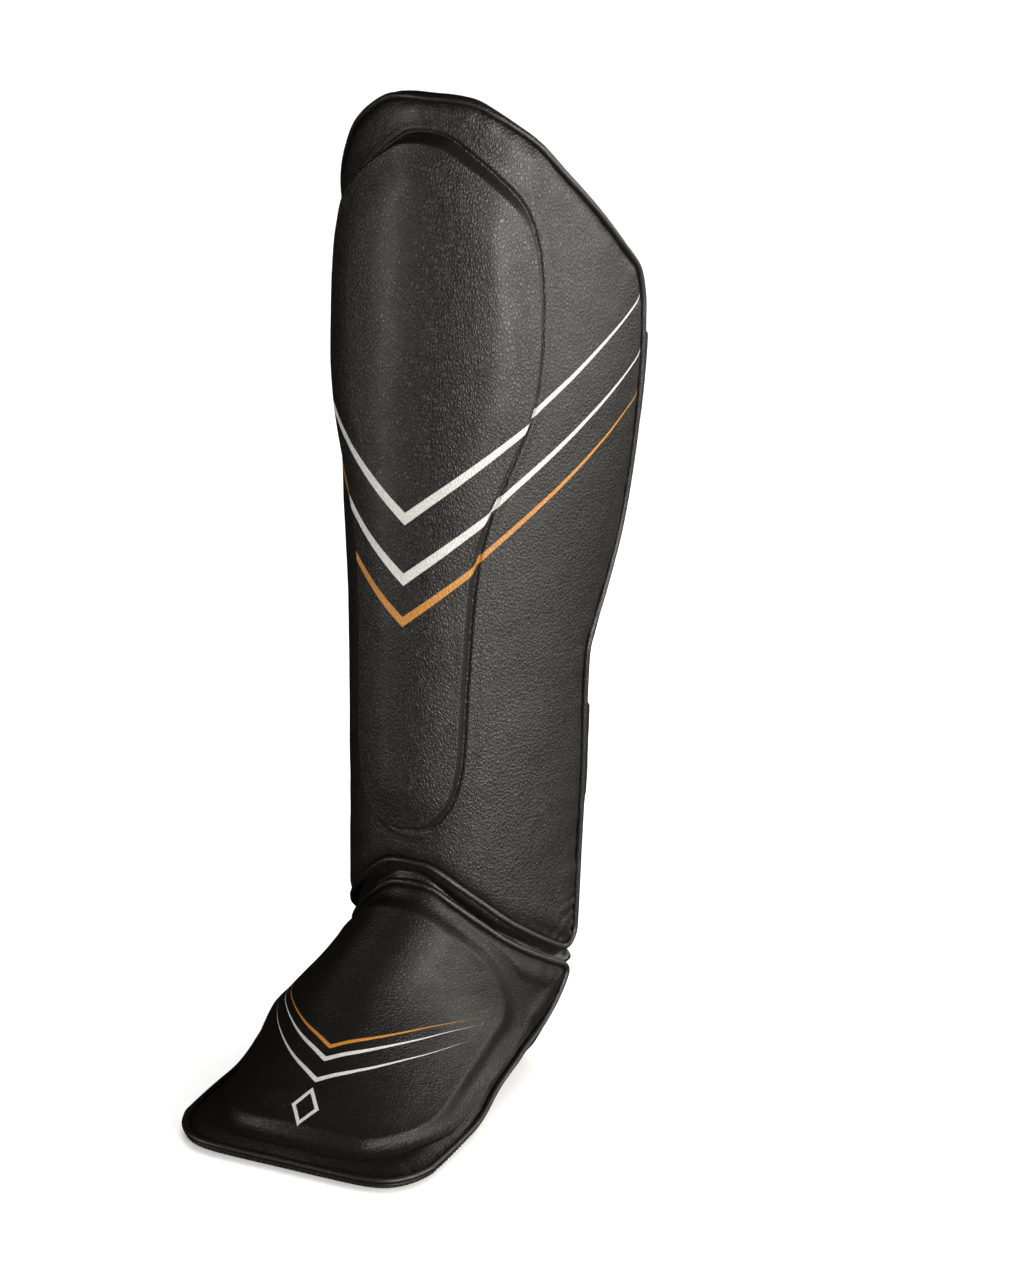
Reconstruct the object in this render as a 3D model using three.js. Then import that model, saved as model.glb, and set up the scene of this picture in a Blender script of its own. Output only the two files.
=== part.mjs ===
// A muay thai shin guard that stands on its instep pad: a padded shell wrapped round the shin, with a raised bar
// down the front, and a padded instep pad hinged below it by a leather gusset. Two straps close the calf side and
// an elastic band crosses under the foot.
// Lengths are millimetres. +Z is up, the shin faces -Y, the calf opening faces +Y, and the pads are the same on
// both sides of x = 0. The guard is laid out with the front of the ankle arch at y = 0 and the floor at z = 0, and
// at the end it is moved so that the middle of its bounding box lies over the origin.

import * as THREE from "three";

// Shell.
const shinLength = 373; // up the front ridge, from the ankle arch to the knee peak
const ankleHeight = 125; // from the floor to the top of the ankle arch
const wingReach = 131; // from the ridge round to the widest part of a wing's back edge
const kneeHalfWidth = 79; // outside, across the knee end
const kneeDepth = 99; // outside, from the ridge back to where the wings run straight
const shellWall = 18; // leather, foam and leather, down the middle
const wingWall = 13; // the same in the wings
const shellRim = 9; // the same at the bound edge
const rimBulge = 3; // of the side wall between its two seams
const liningWall = 2;
const pipingRadius = 1.6;
const pipingSeat = 0.7; // gap between the piping and the seam that it follows
const pipingLean = { front: 0.8, outward: 0.6 }; // direction from the seam to the piping's middle
const pipingSides = 5;
const seat = 0.4; // gap between two pieces that touch

// The leg form that the shell is wrapped on, from the ankle corners to the knee peak.
// up is a share of shinLength, width of kneeHalfWidth, depth and setBack of kneeDepth.
const legSections = [
  { up: -0.2, width: 0.75, depth: 0.86, setBack: -0.02 },
  { up: 0.0, width: 0.77, depth: 0.87, setBack: 0.0 },
  { up: 0.3, width: 0.83, depth: 0.89, setBack: 0.06 },
  { up: 0.6, width: 0.97, depth: 0.97, setBack: 0.13 },
  { up: 0.8, width: 1.0, depth: 1.0, setBack: 0.18 },
  { up: 1.0, width: 1.0, depth: 1.0, setBack: 0.24 },
];

// Half of the shell's flat pattern. reach is a share of wingReach, up of shinLength.
const shellPattern = {
  top: [
    { reach: 0.0, up: 1.0 },
    { reach: 0.12, up: 0.999 },
    { reach: 0.23, up: 0.99 },
    { reach: 0.42, up: 0.951 },
    { reach: 0.56, up: 0.903 },
    { reach: 0.7, up: 0.853 },
    { reach: 0.83, up: 0.803 },
    { reach: 0.93, up: 0.765 },
    { reach: 0.976, up: 0.732 },
  ],
  side: [
    { reach: 0.8, up: -0.17 },
    { reach: 0.815, up: -0.13 },
    { reach: 0.82, up: 0.05 },
    { reach: 0.8, up: 0.21 },
    { reach: 0.81, up: 0.27 },
    { reach: 0.89, up: 0.335 },
    { reach: 0.965, up: 0.41 },
    { reach: 0.995, up: 0.5 },
    { reach: 1.0, up: 0.62 },
    { reach: 0.976, up: 0.732 },
  ],
  bottom: [
    { reach: 0.0, up: 0.0 },
    { reach: 0.1, up: -0.004 },
    { reach: 0.19, up: -0.02 },
    { reach: 0.33, up: -0.055 },
    { reach: 0.48, up: -0.098 },
    { reach: 0.65, up: -0.142 },
    { reach: 0.76, up: -0.168 },
    { reach: 0.8, up: -0.17 },
  ],
};
const shellAcross = 11; // grid cells from the ridge to a wing's back edge
const shellUp = 24; // grid cells from the ankle to the knee

// Raised bar down the shin, on the same flat pattern.
const barHeight = 11;
const barEdge = 3; // height of the bar's edge, where its leather turns in
const barPattern = {
  top: [
    { reach: 0.0, up: 0.959 },
    { reach: 0.09, up: 0.954 },
    { reach: 0.18, up: 0.935 },
    { reach: 0.29, up: 0.906 },
    { reach: 0.39, up: 0.871 },
    { reach: 0.45, up: 0.828 },
  ],
  side: [
    { reach: 0.2, up: 0.085 },
    { reach: 0.232, up: 0.14 },
    { reach: 0.24, up: 0.25 },
    { reach: 0.256, up: 0.38 },
    { reach: 0.295, up: 0.458 },
    { reach: 0.37, up: 0.527 },
    { reach: 0.45, up: 0.6 },
    { reach: 0.478, up: 0.663 },
    { reach: 0.478, up: 0.753 },
    { reach: 0.45, up: 0.828 },
  ],
  bottom: [
    { reach: 0.0, up: 0.044 },
    { reach: 0.08, up: 0.048 },
    { reach: 0.145, up: 0.062 },
    { reach: 0.2, up: 0.085 },
  ],
};
const barAcross = 5; // grid cells from the ridge to the bar's side
const barUp = 20;

// Instep pad. It rests on the floor along its toe and its two sides, and lies a little to the left of the shin.
const toeReach = 104; // from the front of the ankle arch forward to the toe edge
const toeSweep = 22; // how far the rounded toe corners lie behind the middle of the toe edge
const instepTurn = 14; // how far the pad lies to the left of the shin, all but its gusset end
const instepHalfWidth = 65.5; // outside, at the toe
const instepWall = 15; // under the gusset
const toePad = 6.5; // the same wall just behind the toe edge and along the sides
const toeWall = 7; // height of the side wall below the piping
const floorRing = 9; // width of the flat face that the pad stands on

// The top seam of the pad's side wall and the wall's foot, from the toe corner to the corner below the shell.
// out is a share of instepHalfWidth, back a share of toeReach behind the arch, up a share of ankleHeight above
// the toe wall. under is how far in from the seam the foot lies, a share of instepHalfWidth, and lift its height
// above the floor, a share of ankleHeight.
const instepSide = [
  { out: 1.0, back: -0.79, up: 0.0, under: 0.0, lift: 0.0 },
  { out: 1.014, back: -0.563, up: 0.0, under: 0.014, lift: 0.0 },
  { out: 1.016, back: -0.258, up: 0.008, under: 0.053, lift: 0.0 },
  { out: 1.01, back: -0.057, up: 0.064, under: 0.107, lift: 0.0 },
  { out: 1.035, back: 0.163, up: 0.132, under: 0.2, lift: 0.0 },
  { out: 0.945, back: 0.43, up: 0.178, under: 0.24, lift: 0.0 },
  { out: 0.91, back: 0.555, up: 0.262, under: 0.19, lift: 0.0 },
  { out: 0.905, back: 0.633, up: 0.373, under: 0.148, lift: 0.2 },
];

// The pad's crown line, from the toe to the gusset. back is a share of toeReach behind the toe edge, up a share
// of ankleHeight above the toe wall.
const instepCrown = [
  { back: 0.0, up: 0.0 },
  { back: 0.24, up: 0.12 },
  { back: 0.47, up: 0.258 },
  { back: 0.7, up: 0.436 },
  { back: 0.89, up: 0.634 },
  { back: 1.022, up: 0.832 },
];
const instepAcross = 8;
const instepAlong = 12;

// Raised middle of the instep pad. across, from and to are shares of the pad's half width and length.
const raised = { across: 0.82, from: 0.1, to: 0.93 };
const raisedRise = 5; // above the rest of the pad
const raisedEdge = 1; // height of its edge, where its leather turns in
const raisedSeat = 0.8; // gap below it, where the pad's face is hollow
const raisedTaper = 0.12; // how much narrower it is at its two ends
const raisedBow = 0.05; // how far its corners lie in from its ends, a share of the pad's length
const raisedAcross = 6;
const raisedAlong = 10;

// Gusset between the two pads.
const gussetDrop = { middle: 14, corner: 9 }; // from the shell's edge down to the instep pad's
const gussetTuck = 4; // how far the instep pad's edge lies behind the shell's face
const gussetWall = 3;
const gussetReach = 0.8; // of the way along the arch to its corners
const gussetAcross = 8;
const seam = 1.9; // clearance between a pad and the stitched edge of a sheet that meets it

// Straps across the calf side. up is the height of a strap's middle, a share of shinLength.
const strapWidth = 52;
const strapWall = 3.5;
const flapWall = 3;
const tabReach = 6; // of the tabs that hold the straps, beyond the shell's side wall
const tabSeam = 0.8; // clearance between the side wall and a tab
const strapPull = { back: 26, inward: 34 }; // from a strap's root to the control point of its curve
const strapOverlap = { flapStart: 0.46, strapEnd: 0.93 }; // shares of the way from one wing to the other
const strapStep = { ends: 0.02, length: 0.14 }; // where a strap steps up to its flap: just before the flap's start
const strapAlong = 16;
const flapAlong = 9;
const tabUp = 8;
const straps = [
  { name: "upper", up: 0.6, tabLow: 0.25, tabHigh: 0.68 },
  { name: "lower", up: 0.1, tabLow: 0.01, tabHigh: 0.19 },
];

// Badge on the upper strap, and the elastic band under the foot.
const badge = { length: 60, width: 34, edge: 1, dome: 2.5, at: 0.42 };
const elastic = { width: 28, wall: 2, along: 0.7, up: 0.55 }; // along the pad, and up its inner side wall

// Surfaces. Each piece gets a material of its own.
const leather = { color: 0x1c1b19, roughness: 0.5, metalness: 0 };
const lining = { color: 0x101010, roughness: 0.95, metalness: 0 };
const trim = { color: 0x121211, roughness: 0.4, metalness: 0 };
const webbing = { color: 0x151515, roughness: 0.85, metalness: 0 };
const gloss = { color: 0x0a0a0a, roughness: 0.15, metalness: 0 };

// Reads one column of a table at a place between its rows, along a smooth curve through them.
function read(table, place, column, at) {
  const last = table.length - 1;
  const slope = (k) => {
    const [a, b] = [table[Math.max(k - 1, 0)], table[Math.min(k + 1, last)]];
    return (b[column] - a[column]) / (b[place] - a[place]);
  };
  let k = 0;
  while (k < last - 1 && at > table[k + 1][place]) k += 1;
  const [a, b] = [table[k], table[k + 1]];
  const span = b[place] - a[place];
  const t = (at - a[place]) / span;
  if (t < 0) return a[column] + slope(k) * span * t;
  if (t > 1) return b[column] + slope(k + 1) * span * (t - 1);
  return (
    (2 * t ** 3 - 3 * t ** 2 + 1) * a[column] +
    (t ** 3 - 2 * t ** 2 + t) * span * slope(k) +
    (3 * t ** 2 - 2 * t ** 3) * b[column] +
    (t ** 3 - t ** 2) * span * slope(k + 1)
  );
}

// A flat pattern as a function of across -1..1 (wing to wing) and up 0..1, blended from its four edges.
function flatPattern({ top, side, bottom }) {
  const curve = (table) =>
    new THREE.SplineCurve(table.map(({ reach, up }) => new THREE.Vector2(reach * wingReach, up * shinLength)));
  const [topCurve, sideCurve, bottomCurve] = [curve(top), curve(side), curve(bottom)];
  const [topCorner, bottomCorner] = [topCurve.getPoint(1), bottomCurve.getPoint(1)];
  return (across, up) => {
    const share = Math.abs(across);
    const flat = new THREE.Vector2();
    flat.addScaledVector(bottomCurve.getPointAt(share), 1 - up);
    flat.addScaledVector(topCurve.getPointAt(share), up);
    flat.addScaledVector(sideCurve.getPointAt(up), share);
    flat.addScaledVector(bottomCorner, -share * (1 - up));
    flat.addScaledVector(topCorner, -share * up);
    return new THREE.Vector2(Math.sign(across) * flat.x, flat.y);
  };
}

// Wraps a point of the flat pattern round the leg form, as a point of the shell's outer face.
function wrap(flat) {
  const up = flat.y / shinLength;
  const halfWidth = read(legSections, "up", "width", up) * kneeHalfWidth;
  const depth = read(legSections, "up", "depth", up) * kneeDepth;
  const setBack = read(legSections, "up", "setBack", up) * kneeDepth;
  const turn = flat.x / Math.sqrt((halfWidth ** 2 + depth ** 2) / 2);
  return new THREE.Vector3(
    halfWidth * Math.sin(turn),
    setBack + depth * (1 - Math.cos(turn)),
    ankleHeight + flat.y,
  );
}

// The outward normal of a surface given as a function of across -1..1 and along 0..1.
function normalOf(surface, across, along) {
  const step = 0.02;
  const [left, right] = [Math.max(across - step, -1), Math.min(across + step, 1)];
  const [low, high] = [Math.max(along - step, 0), Math.min(along + step, 1)];
  const wide = surface(right, along).sub(surface(left, along));
  const tall = surface(across, high).sub(surface(across, low));
  return wide.cross(tall).normalize();
}

// A surface a given depth behind another one. depth is a length or a function of across and along.
function behind(surface, depth) {
  return (across, along) => {
    const back = typeof depth === "number" ? depth : depth(across, along);
    return surface(across, along).addScaledVector(normalOf(surface, across, along), -back);
  };
}

// The corners of a grid's cells round its edge, anticlockwise as seen from the front.
function borderOf(acrossCells, alongCells) {
  const border = [];
  for (let i = 0; i < acrossCells; i++) border.push([i, 0]);
  for (let j = 0; j < alongCells; j++) border.push([acrossCells, j]);
  for (let i = acrossCells; i > 0; i--) border.push([i, alongCells]);
  for (let j = alongCells; j > 0; j--) border.push([0, j]);
  return border;
}

// A closed body between a front and a back surface. Its edge is a wall between the two, through the rows that
// edges gives. Every surface is a function of across -1..1 and along 0..1.
function padSolid(acrossCells, alongCells, front, back, edges = []) {
  const place = ([i, j]) => [(2 * i) / acrossCells - 1, j / alongCells];
  const points = [];
  const faces = [];
  const wide = acrossCells + 1;
  const layerSize = wide * (alongCells + 1);
  for (const layer of [front, back]) {
    for (let j = 0; j <= alongCells; j++) {
      for (let i = 0; i < wide; i++) points.push(layer(...place([i, j])));
    }
  }
  const quad = (a, b, c, d) => faces.push(a, b, c, a, c, d);
  const at = (layer, [i, j]) => layer * layerSize + j * wide + i;
  for (let j = 0; j < alongCells; j++) {
    for (let i = 0; i < acrossCells; i++) {
      const [a, b, c, d] = [[i, j], [i + 1, j], [i + 1, j + 1], [i, j + 1]];
      quad(at(0, a), at(0, b), at(0, c), at(0, d));
      quad(at(1, a), at(1, d), at(1, c), at(1, b));
    }
  }
  const border = borderOf(acrossCells, alongCells);
  const rows = [border.map((corner) => at(0, corner))];
  for (const edge of edges) {
    const first = points.length;
    rows.push(border.map((_, k) => first + k));
    for (const corner of border) points.push(edge(...place(corner)));
  }
  rows.push(border.map((corner) => at(1, corner)));
  for (let r = 0; r + 1 < rows.length; r++) {
    for (let k = 0; k < border.length; k++) {
      const next = (k + 1) % border.length;
      quad(rows[r][k], rows[r + 1][k], rows[r + 1][next], rows[r][next]);
    }
  }
  return meshGeometry(points, faces);
}

function meshGeometry(points, faces) {
  const geometry = new THREE.BufferGeometry();
  geometry.setAttribute("position", new THREE.Float32BufferAttribute(points.flatMap((p) => p.toArray()), 3));
  geometry.setIndex(faces);
  geometry.computeVertexNormals();
  return geometry;
}

const smooth = (t) => THREE.MathUtils.smoothstep(t, 0, 1);

// 0 at a patch's edge and 1 from a given share of its size inwards.
function fromEdge(across, along, share) {
  return smooth(Math.min(1 - Math.abs(across), 2 * along, 2 - 2 * along) / share);
}

// The direction away from a patch, in its own surface, at a place on its edge.
function outwardAt(surface, across, along) {
  const rim = surface(across, along);
  const normal = normalOf(surface, across, along);
  const out = rim.clone().sub(surface(across * 0.96, 0.5 + (along - 0.5) * 0.96));
  return out.addScaledVector(normal, -out.dot(normal)).normalize();
}

const guard = new THREE.Group();

function addPiece(name, geometry, surface) {
  const mesh = new THREE.Mesh(geometry, new THREE.MeshStandardMaterial(surface));
  mesh.name = name;
  guard.add(mesh);
}

// Shell, its lining, the bar and the piping.
const shellFlat = flatPattern(shellPattern);
const shellFace = (across, up) => wrap(shellFlat(across, up));
function shellThickness(across, up) {
  const pad = shellWall + (wingWall - shellWall) * smooth((Math.abs(across) - 0.3) / 0.4);
  return shellRim + (pad - shellRim) * fromEdge(across, up, 0.25);
}
const shellEdge = (across, up) =>
  behind(shellFace, shellRim / 2)(across, up).addScaledVector(outwardAt(shellFace, across, up), rimBulge);
addPiece(
  "shin_shell",
  padSolid(2 * shellAcross, shellUp, shellFace, behind(shellFace, shellThickness), [shellEdge]),
  leather,
);

// A lining leaves a margin of whole cells of its pad's grid free all round, so that the two stay the same gap apart.
function liningSolid(acrossCells, alongCells, inner, margin) {
  const [wide, long] = [1 - (2 * margin) / acrossCells, 1 - (2 * margin) / alongCells];
  const layer = (depth) => (across, along) =>
    behind(inner, depth)(across * wide, 0.5 + (along - 0.5) * long);
  return padSolid(acrossCells - 2 * margin, alongCells - 2 * margin, layer(seat), layer(seat + liningWall));
}
addPiece("shell_lining", liningSolid(2 * shellAcross, shellUp, behind(shellFace, shellThickness), 1), lining);

const barFlat = flatPattern(barPattern);
const barFace = (across, up) => wrap(barFlat(across, up));
const barTop = (across, up) => -(seat + barEdge + (barHeight - barEdge) * fromEdge(across, up, 0.35));
addPiece(
  "raised_shin_bar",
  padSolid(2 * barAcross, barUp, behind(barFace, barTop), behind(barFace, -seat)),
  leather,
);

// Instep pad. Its top edge follows the shell's arch, and its toe edge and sides rest on the floor.
function instepTop(across) {
  const arch = shellFace(across, 0);
  const drop = gussetDrop.middle + (gussetDrop.corner - gussetDrop.middle) * across ** 2;
  arch.addScaledVector(normalOf(shellFace, across, 0), -gussetTuck);
  arch.z -= drop;
  return arch;
}
const toeEdge = (across) =>
  new THREE.Vector3(instepHalfWidth * across, -toeReach + toeSweep * across ** 8, toeWall);
const seamCurve = new THREE.CatmullRomCurve3(
  instepSide.map(
    ({ out, back, up }) => new THREE.Vector3(out * instepHalfWidth, back * toeReach, toeWall + up * ankleHeight),
  ),
);
const footCurve = new THREE.CatmullRomCurve3(
  instepSide.map(
    ({ out, under, back, lift }) =>
      new THREE.Vector3((out - under) * instepHalfWidth, back * toeReach, lift * ankleHeight),
  ),
);
// A point of one of the two curves, kept from dipping below a height between the curve's own points.
function onSide(curve, along, lowest) {
  const point = curve.getPointAt(along);
  point.z = Math.max(point.z, lowest);
  return point;
}
const crownCurve = new THREE.CatmullRomCurve3(
  instepCrown.map(({ back, up }) => new THREE.Vector3(0, (back - 1) * toeReach, toeWall + up * ankleHeight)),
);
function instepFace(across, along) {
  const side = Math.abs(across) ** 2.4;
  const blend = (share) => toeEdge(share).multiplyScalar(1 - along).addScaledVector(instepTop(share), along);
  const point = blend(across);
  point.addScaledVector(crownCurve.getPointAt(along).sub(blend(0)), 1 - side);
  const corner = onSide(seamCurve, along, toeWall).sub(blend(1));
  corner.x *= Math.sign(across);
  point.addScaledVector(corner, side);
  point.x -= instepTurn * (1 - smooth((along - 0.6) / 0.4));
  return point;
}

// The step from the pad's seam down to the foot of its side wall.
function soleStep(across, along) {
  const side = Math.abs(across) ** 2.4;
  const foot = onSide(footCurve, along, 0).sub(onSide(seamCurve, along, toeWall));
  foot.x *= Math.sign(across);
  return foot.multiplyScalar(side).add(new THREE.Vector3(0, 0, -toeWall * (1 - side)));
}

// A point of the instep pad moved by a mix of two steps: one for its toe and side edges and one for its middle.
function instepStep(across, along, edgeStep, middleStep) {
  const share = smooth(Math.min((1 - Math.abs(across)) / 0.17, along / 0.14));
  return instepFace(across, along).addScaledVector(edgeStep, 1 - share).addScaledVector(middleStep, share);
}
function throughInstep(across, along, share) {
  const wall = toePad + (instepWall - toePad) * smooth(along / 0.6) * (1 - across ** 4);
  return normalOf(instepFace, across, along).multiplyScalar(-wall * share);
}
const soleOuter = (across, along) =>
  instepStep(across, along, soleStep(across, along), throughInstep(across, along, 0.5));
function instepInner(across, along) {
  const ring = new THREE.Vector3(-Math.sign(across) * across ** 4, (1 - along) ** 4, 0).setLength(floorRing);
  return instepStep(across, along, ring.add(soleStep(across, along)), throughInstep(across, along, 1));
}
addPiece("instep_pad", padSolid(2 * instepAcross, instepAlong, instepFace, instepInner, [soleOuter]), leather);

function raisedFace(across, along) {
  const narrow = 1 - raisedTaper * (2 * along - 1) ** 4;
  const middle = raised.from + (raised.to - raised.from) * along;
  return instepFace(raised.across * across * narrow, middle + raisedBow * across ** 4 * (1 - 2 * along));
}
const raisedTop = (across, along) =>
  -(raisedSeat + raisedEdge + (raisedRise - raisedEdge) * fromEdge(across, along, 0.35));
addPiece(
  "raised_instep_pad",
  padSolid(2 * raisedAcross, raisedAlong, behind(raisedFace, raisedTop), behind(raisedFace, -raisedSeat)),
  leather,
);

addPiece("instep_lining", liningSolid(2 * instepAcross, instepAlong, instepInner, 2), lining);

// Piping, a closed ring on the edge of a pad, on the same stations as the pad's grid.
function pipingRing(surface, acrossCells, alongCells) {
  const centres = borderOf(acrossCells, alongCells).map(([i, j]) => {
    const [across, along] = [(2 * i) / acrossCells - 1, j / alongCells];
    const lift = normalOf(surface, across, along).multiplyScalar(pipingLean.front);
    lift.addScaledVector(outwardAt(surface, across, along), pipingLean.outward);
    lift.setLength(pipingRadius + pipingSeat);
    return { centre: surface(across, along).add(lift), out: lift.normalize() };
  });
  const sides = pipingSides;
  const points = [];
  const faces = [];
  centres.forEach(({ centre, out }, k) => {
    const next = centres[(k + 1) % centres.length].centre;
    const last = centres[(k + centres.length - 1) % centres.length].centre;
    const tangent = next.clone().sub(last).normalize();
    const spoke = out.clone().addScaledVector(tangent, -out.dot(tangent)).setLength(pipingRadius);
    for (let s = 0; s < sides; s++) {
      points.push(spoke.clone().applyAxisAngle(tangent, (2 * Math.PI * s) / sides).add(centre));
    }
    const ring = ((k + 1) % centres.length) * sides;
    for (let s = 0; s < sides; s++) {
      const t = (s + 1) % sides;
      faces.push(k * sides + s, ring + t, ring + s, k * sides + s, k * sides + t, ring + t);
    }
  });
  return meshGeometry(points, faces);
}
addPiece("shell_piping", pipingRing(shellFace, 2 * shellAcross, shellUp), trim);
addPiece("instep_piping", pipingRing(instepFace, 2 * instepAcross, instepAlong), trim);

// Gusset, a sheet from the top of the instep pad up to the shell's arch, between their corners.
function gussetSheet(share, along) {
  const across = gussetReach * share;
  const low = instepFace(across, 1).add(throughInstep(across, 1, 0.5));
  low.addScaledVector(outwardAt(instepFace, across, 1), seam);
  const high = behind(shellFace, shellRim / 2)(across, 0);
  high.addScaledVector(outwardAt(shellFace, across, 0), rimBulge + seam);
  return low.lerp(high, along);
}
addPiece(
  "ankle_gusset",
  padSolid(2 * gussetAcross, 2, behind(gussetSheet, -gussetWall / 2), behind(gussetSheet, gussetWall / 2)),
  leather,
);

// The middle of a wing's back wall at a height, and the way on round the calf from there.
function wingBack(side, z) {
  let [low, high] = [0, 1];
  for (let k = 0; k < 24; k++) {
    const middle = (low + high) / 2;
    if (shellFace(1, middle).z < z) low = middle;
    else high = middle;
  }
  const flat = shellFlat(side, low);
  const start = shellEdge(side, low);
  const onward = wrap(new THREE.Vector2(flat.x + side, flat.y)).sub(wrap(flat)).normalize();
  return { start, onward };
}

// Tabs behind the wings' back walls, which the straps and the flaps are sewn to.
function tabSheet(side, low, high) {
  return (across, along) => {
    const { start, onward } = wingBack(side, low + (high - low) * along);
    const share = (1 + side * across) / 2;
    return start.addScaledVector(onward, tabSeam + (tabReach - tabSeam) * share);
  };
}

// The way of a strap at a height, from the left wing to the right one.
function strapWay(z) {
  const [left, right] = [-1, 1].map((side) => {
    const { start, onward } = wingBack(side, z);
    const root = start.addScaledVector(onward, tabReach + strapWall / 2);
    root.z = z;
    const pull = root.clone().addScaledVector(onward, strapPull.back);
    pull.x -= side * strapPull.inward;
    return { root, pull };
  });
  return new THREE.CubicBezierCurve3(left.root, left.pull, right.pull, right.root);
}

// A ribbon's middle sheet along that way. ends gives the free ends, which are rounded off.
function ribbon({ z, from, to, width, lift, ends }) {
  return (across, along) => {
    const free = Math.min(ends.includes("from") ? along : 1, ends.includes("to") ? 1 - along : 1);
    const narrow = 1 - 0.45 * Math.max(1 - free * 8, 0) ** 2;
    const way = strapWay(z + (width / 2) * narrow * across);
    const share = from + (to - from) * along;
    const tangent = way.getTangent(share);
    const out = new THREE.Vector3(-tangent.y, tangent.x, 0).normalize();
    return way.getPoint(share).addScaledVector(out, lift(share));
  };
}

const overFlap = flapWall / 2 + seat + strapWall / 2;
const stepStart = strapOverlap.flapStart - strapStep.ends - strapStep.length;
const strapLift = (share) => overFlap * smooth((share - stepStart) / strapStep.length);
for (const { name, up, tabLow, tabHigh } of straps) {
  const z = ankleHeight + up * shinLength;
  const [low, high] = [tabLow, tabHigh].map((share) => ankleHeight + share * shinLength);
  for (const [side, hand] of [[-1, "left"], [1, "right"]]) {
    const sheet = tabSheet(side, low, high);
    const tab = padSolid(1, tabUp, behind(sheet, -flapWall / 2), behind(sheet, flapWall / 2));
    addPiece(`${name}_${hand}_tab`, tab, leather);
  }
  const flap = ribbon({ z, from: strapOverlap.flapStart, to: 1, width: strapWidth, lift: () => 0, ends: ["from"] });
  const flapSolid = padSolid(2, flapAlong, behind(flap, -flapWall / 2), behind(flap, flapWall / 2));
  addPiece(`${name}_flap`, flapSolid, leather);
  const strap = ribbon({ z, from: 0, to: strapOverlap.strapEnd, width: strapWidth, lift: strapLift, ends: ["to"] });
  const strapSolid = padSolid(2, strapAlong, behind(strap, -strapWall / 2), behind(strap, strapWall / 2));
  addPiece(`${name}_strap`, strapSolid, leather);
}

// Badge on the upper strap.
const badgeHeight = ankleHeight + straps[0].up * shinLength;
const badgeSpan = badge.length / 2 / strapWay(badgeHeight).getLength();
const badgeBack = ribbon({
  z: badgeHeight,
  from: badge.at - badgeSpan,
  to: badge.at + badgeSpan,
  width: badge.width,
  lift: (share) => strapLift(share) + strapWall / 2 + seat,
  ends: [],
});
const badgeFace = behind(badgeBack, (across, along) => -(badge.edge + badge.dome * fromEdge(across, along, 0.6)));
addPiece("strap_badge", padSolid(6, 8, badgeFace, badgeBack), gloss);

// Elastic band, straight across between the inner faces of the instep pad's side walls.
const elasticEnds = [-1, 1].map((side) => {
  const wallTop = instepInner(side * (1 - 1 / instepAcross), elastic.along);
  return instepInner(side, elastic.along).lerp(wallTop, elastic.up);
});
const elasticMiddle = elasticEnds[0].clone().lerp(elasticEnds[1], 0.5);
const elasticLength = elasticEnds[1].x - elasticEnds[0].x - 5 * seam;
const band = new THREE.BoxGeometry(elasticLength, elastic.width, elastic.wall, 8, 2, 1);
band.translate(elasticMiddle.x, elasticMiddle.y - elastic.width / 4, elasticMiddle.z);
addPiece("underfoot_elastic", band, webbing);

// Move the middle of the guard's bounding box over the origin.
const box = new THREE.Box3().setFromObject(guard);
const middle = box.getCenter(new THREE.Vector3());
for (const mesh of guard.children) mesh.geometry.translate(-middle.x, -middle.y, -box.min.z);

export default guard;
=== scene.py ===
import math
import random

import bpy
import numpy as np
from mathutils import Matrix, Vector, noise


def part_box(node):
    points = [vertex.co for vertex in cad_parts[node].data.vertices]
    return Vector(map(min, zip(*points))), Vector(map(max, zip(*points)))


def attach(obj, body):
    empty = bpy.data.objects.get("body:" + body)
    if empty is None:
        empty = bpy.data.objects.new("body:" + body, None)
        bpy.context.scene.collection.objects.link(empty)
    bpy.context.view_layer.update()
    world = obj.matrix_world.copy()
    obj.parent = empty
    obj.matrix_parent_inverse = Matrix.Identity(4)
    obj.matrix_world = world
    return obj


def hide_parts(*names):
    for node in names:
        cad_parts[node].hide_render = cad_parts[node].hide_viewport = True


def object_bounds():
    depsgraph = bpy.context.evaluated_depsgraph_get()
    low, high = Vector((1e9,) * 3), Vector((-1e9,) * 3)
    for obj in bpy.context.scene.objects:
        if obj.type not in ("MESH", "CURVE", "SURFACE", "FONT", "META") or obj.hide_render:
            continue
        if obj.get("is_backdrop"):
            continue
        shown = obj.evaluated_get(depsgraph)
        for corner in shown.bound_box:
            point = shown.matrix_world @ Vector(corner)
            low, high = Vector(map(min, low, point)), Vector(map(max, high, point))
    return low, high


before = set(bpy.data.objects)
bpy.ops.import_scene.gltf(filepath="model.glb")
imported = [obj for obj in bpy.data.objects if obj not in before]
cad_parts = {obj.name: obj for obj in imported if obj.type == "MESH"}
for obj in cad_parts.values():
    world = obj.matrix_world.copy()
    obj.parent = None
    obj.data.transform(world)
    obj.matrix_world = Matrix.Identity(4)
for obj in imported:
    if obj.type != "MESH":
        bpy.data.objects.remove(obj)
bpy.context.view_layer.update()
random.seed(7)

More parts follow.
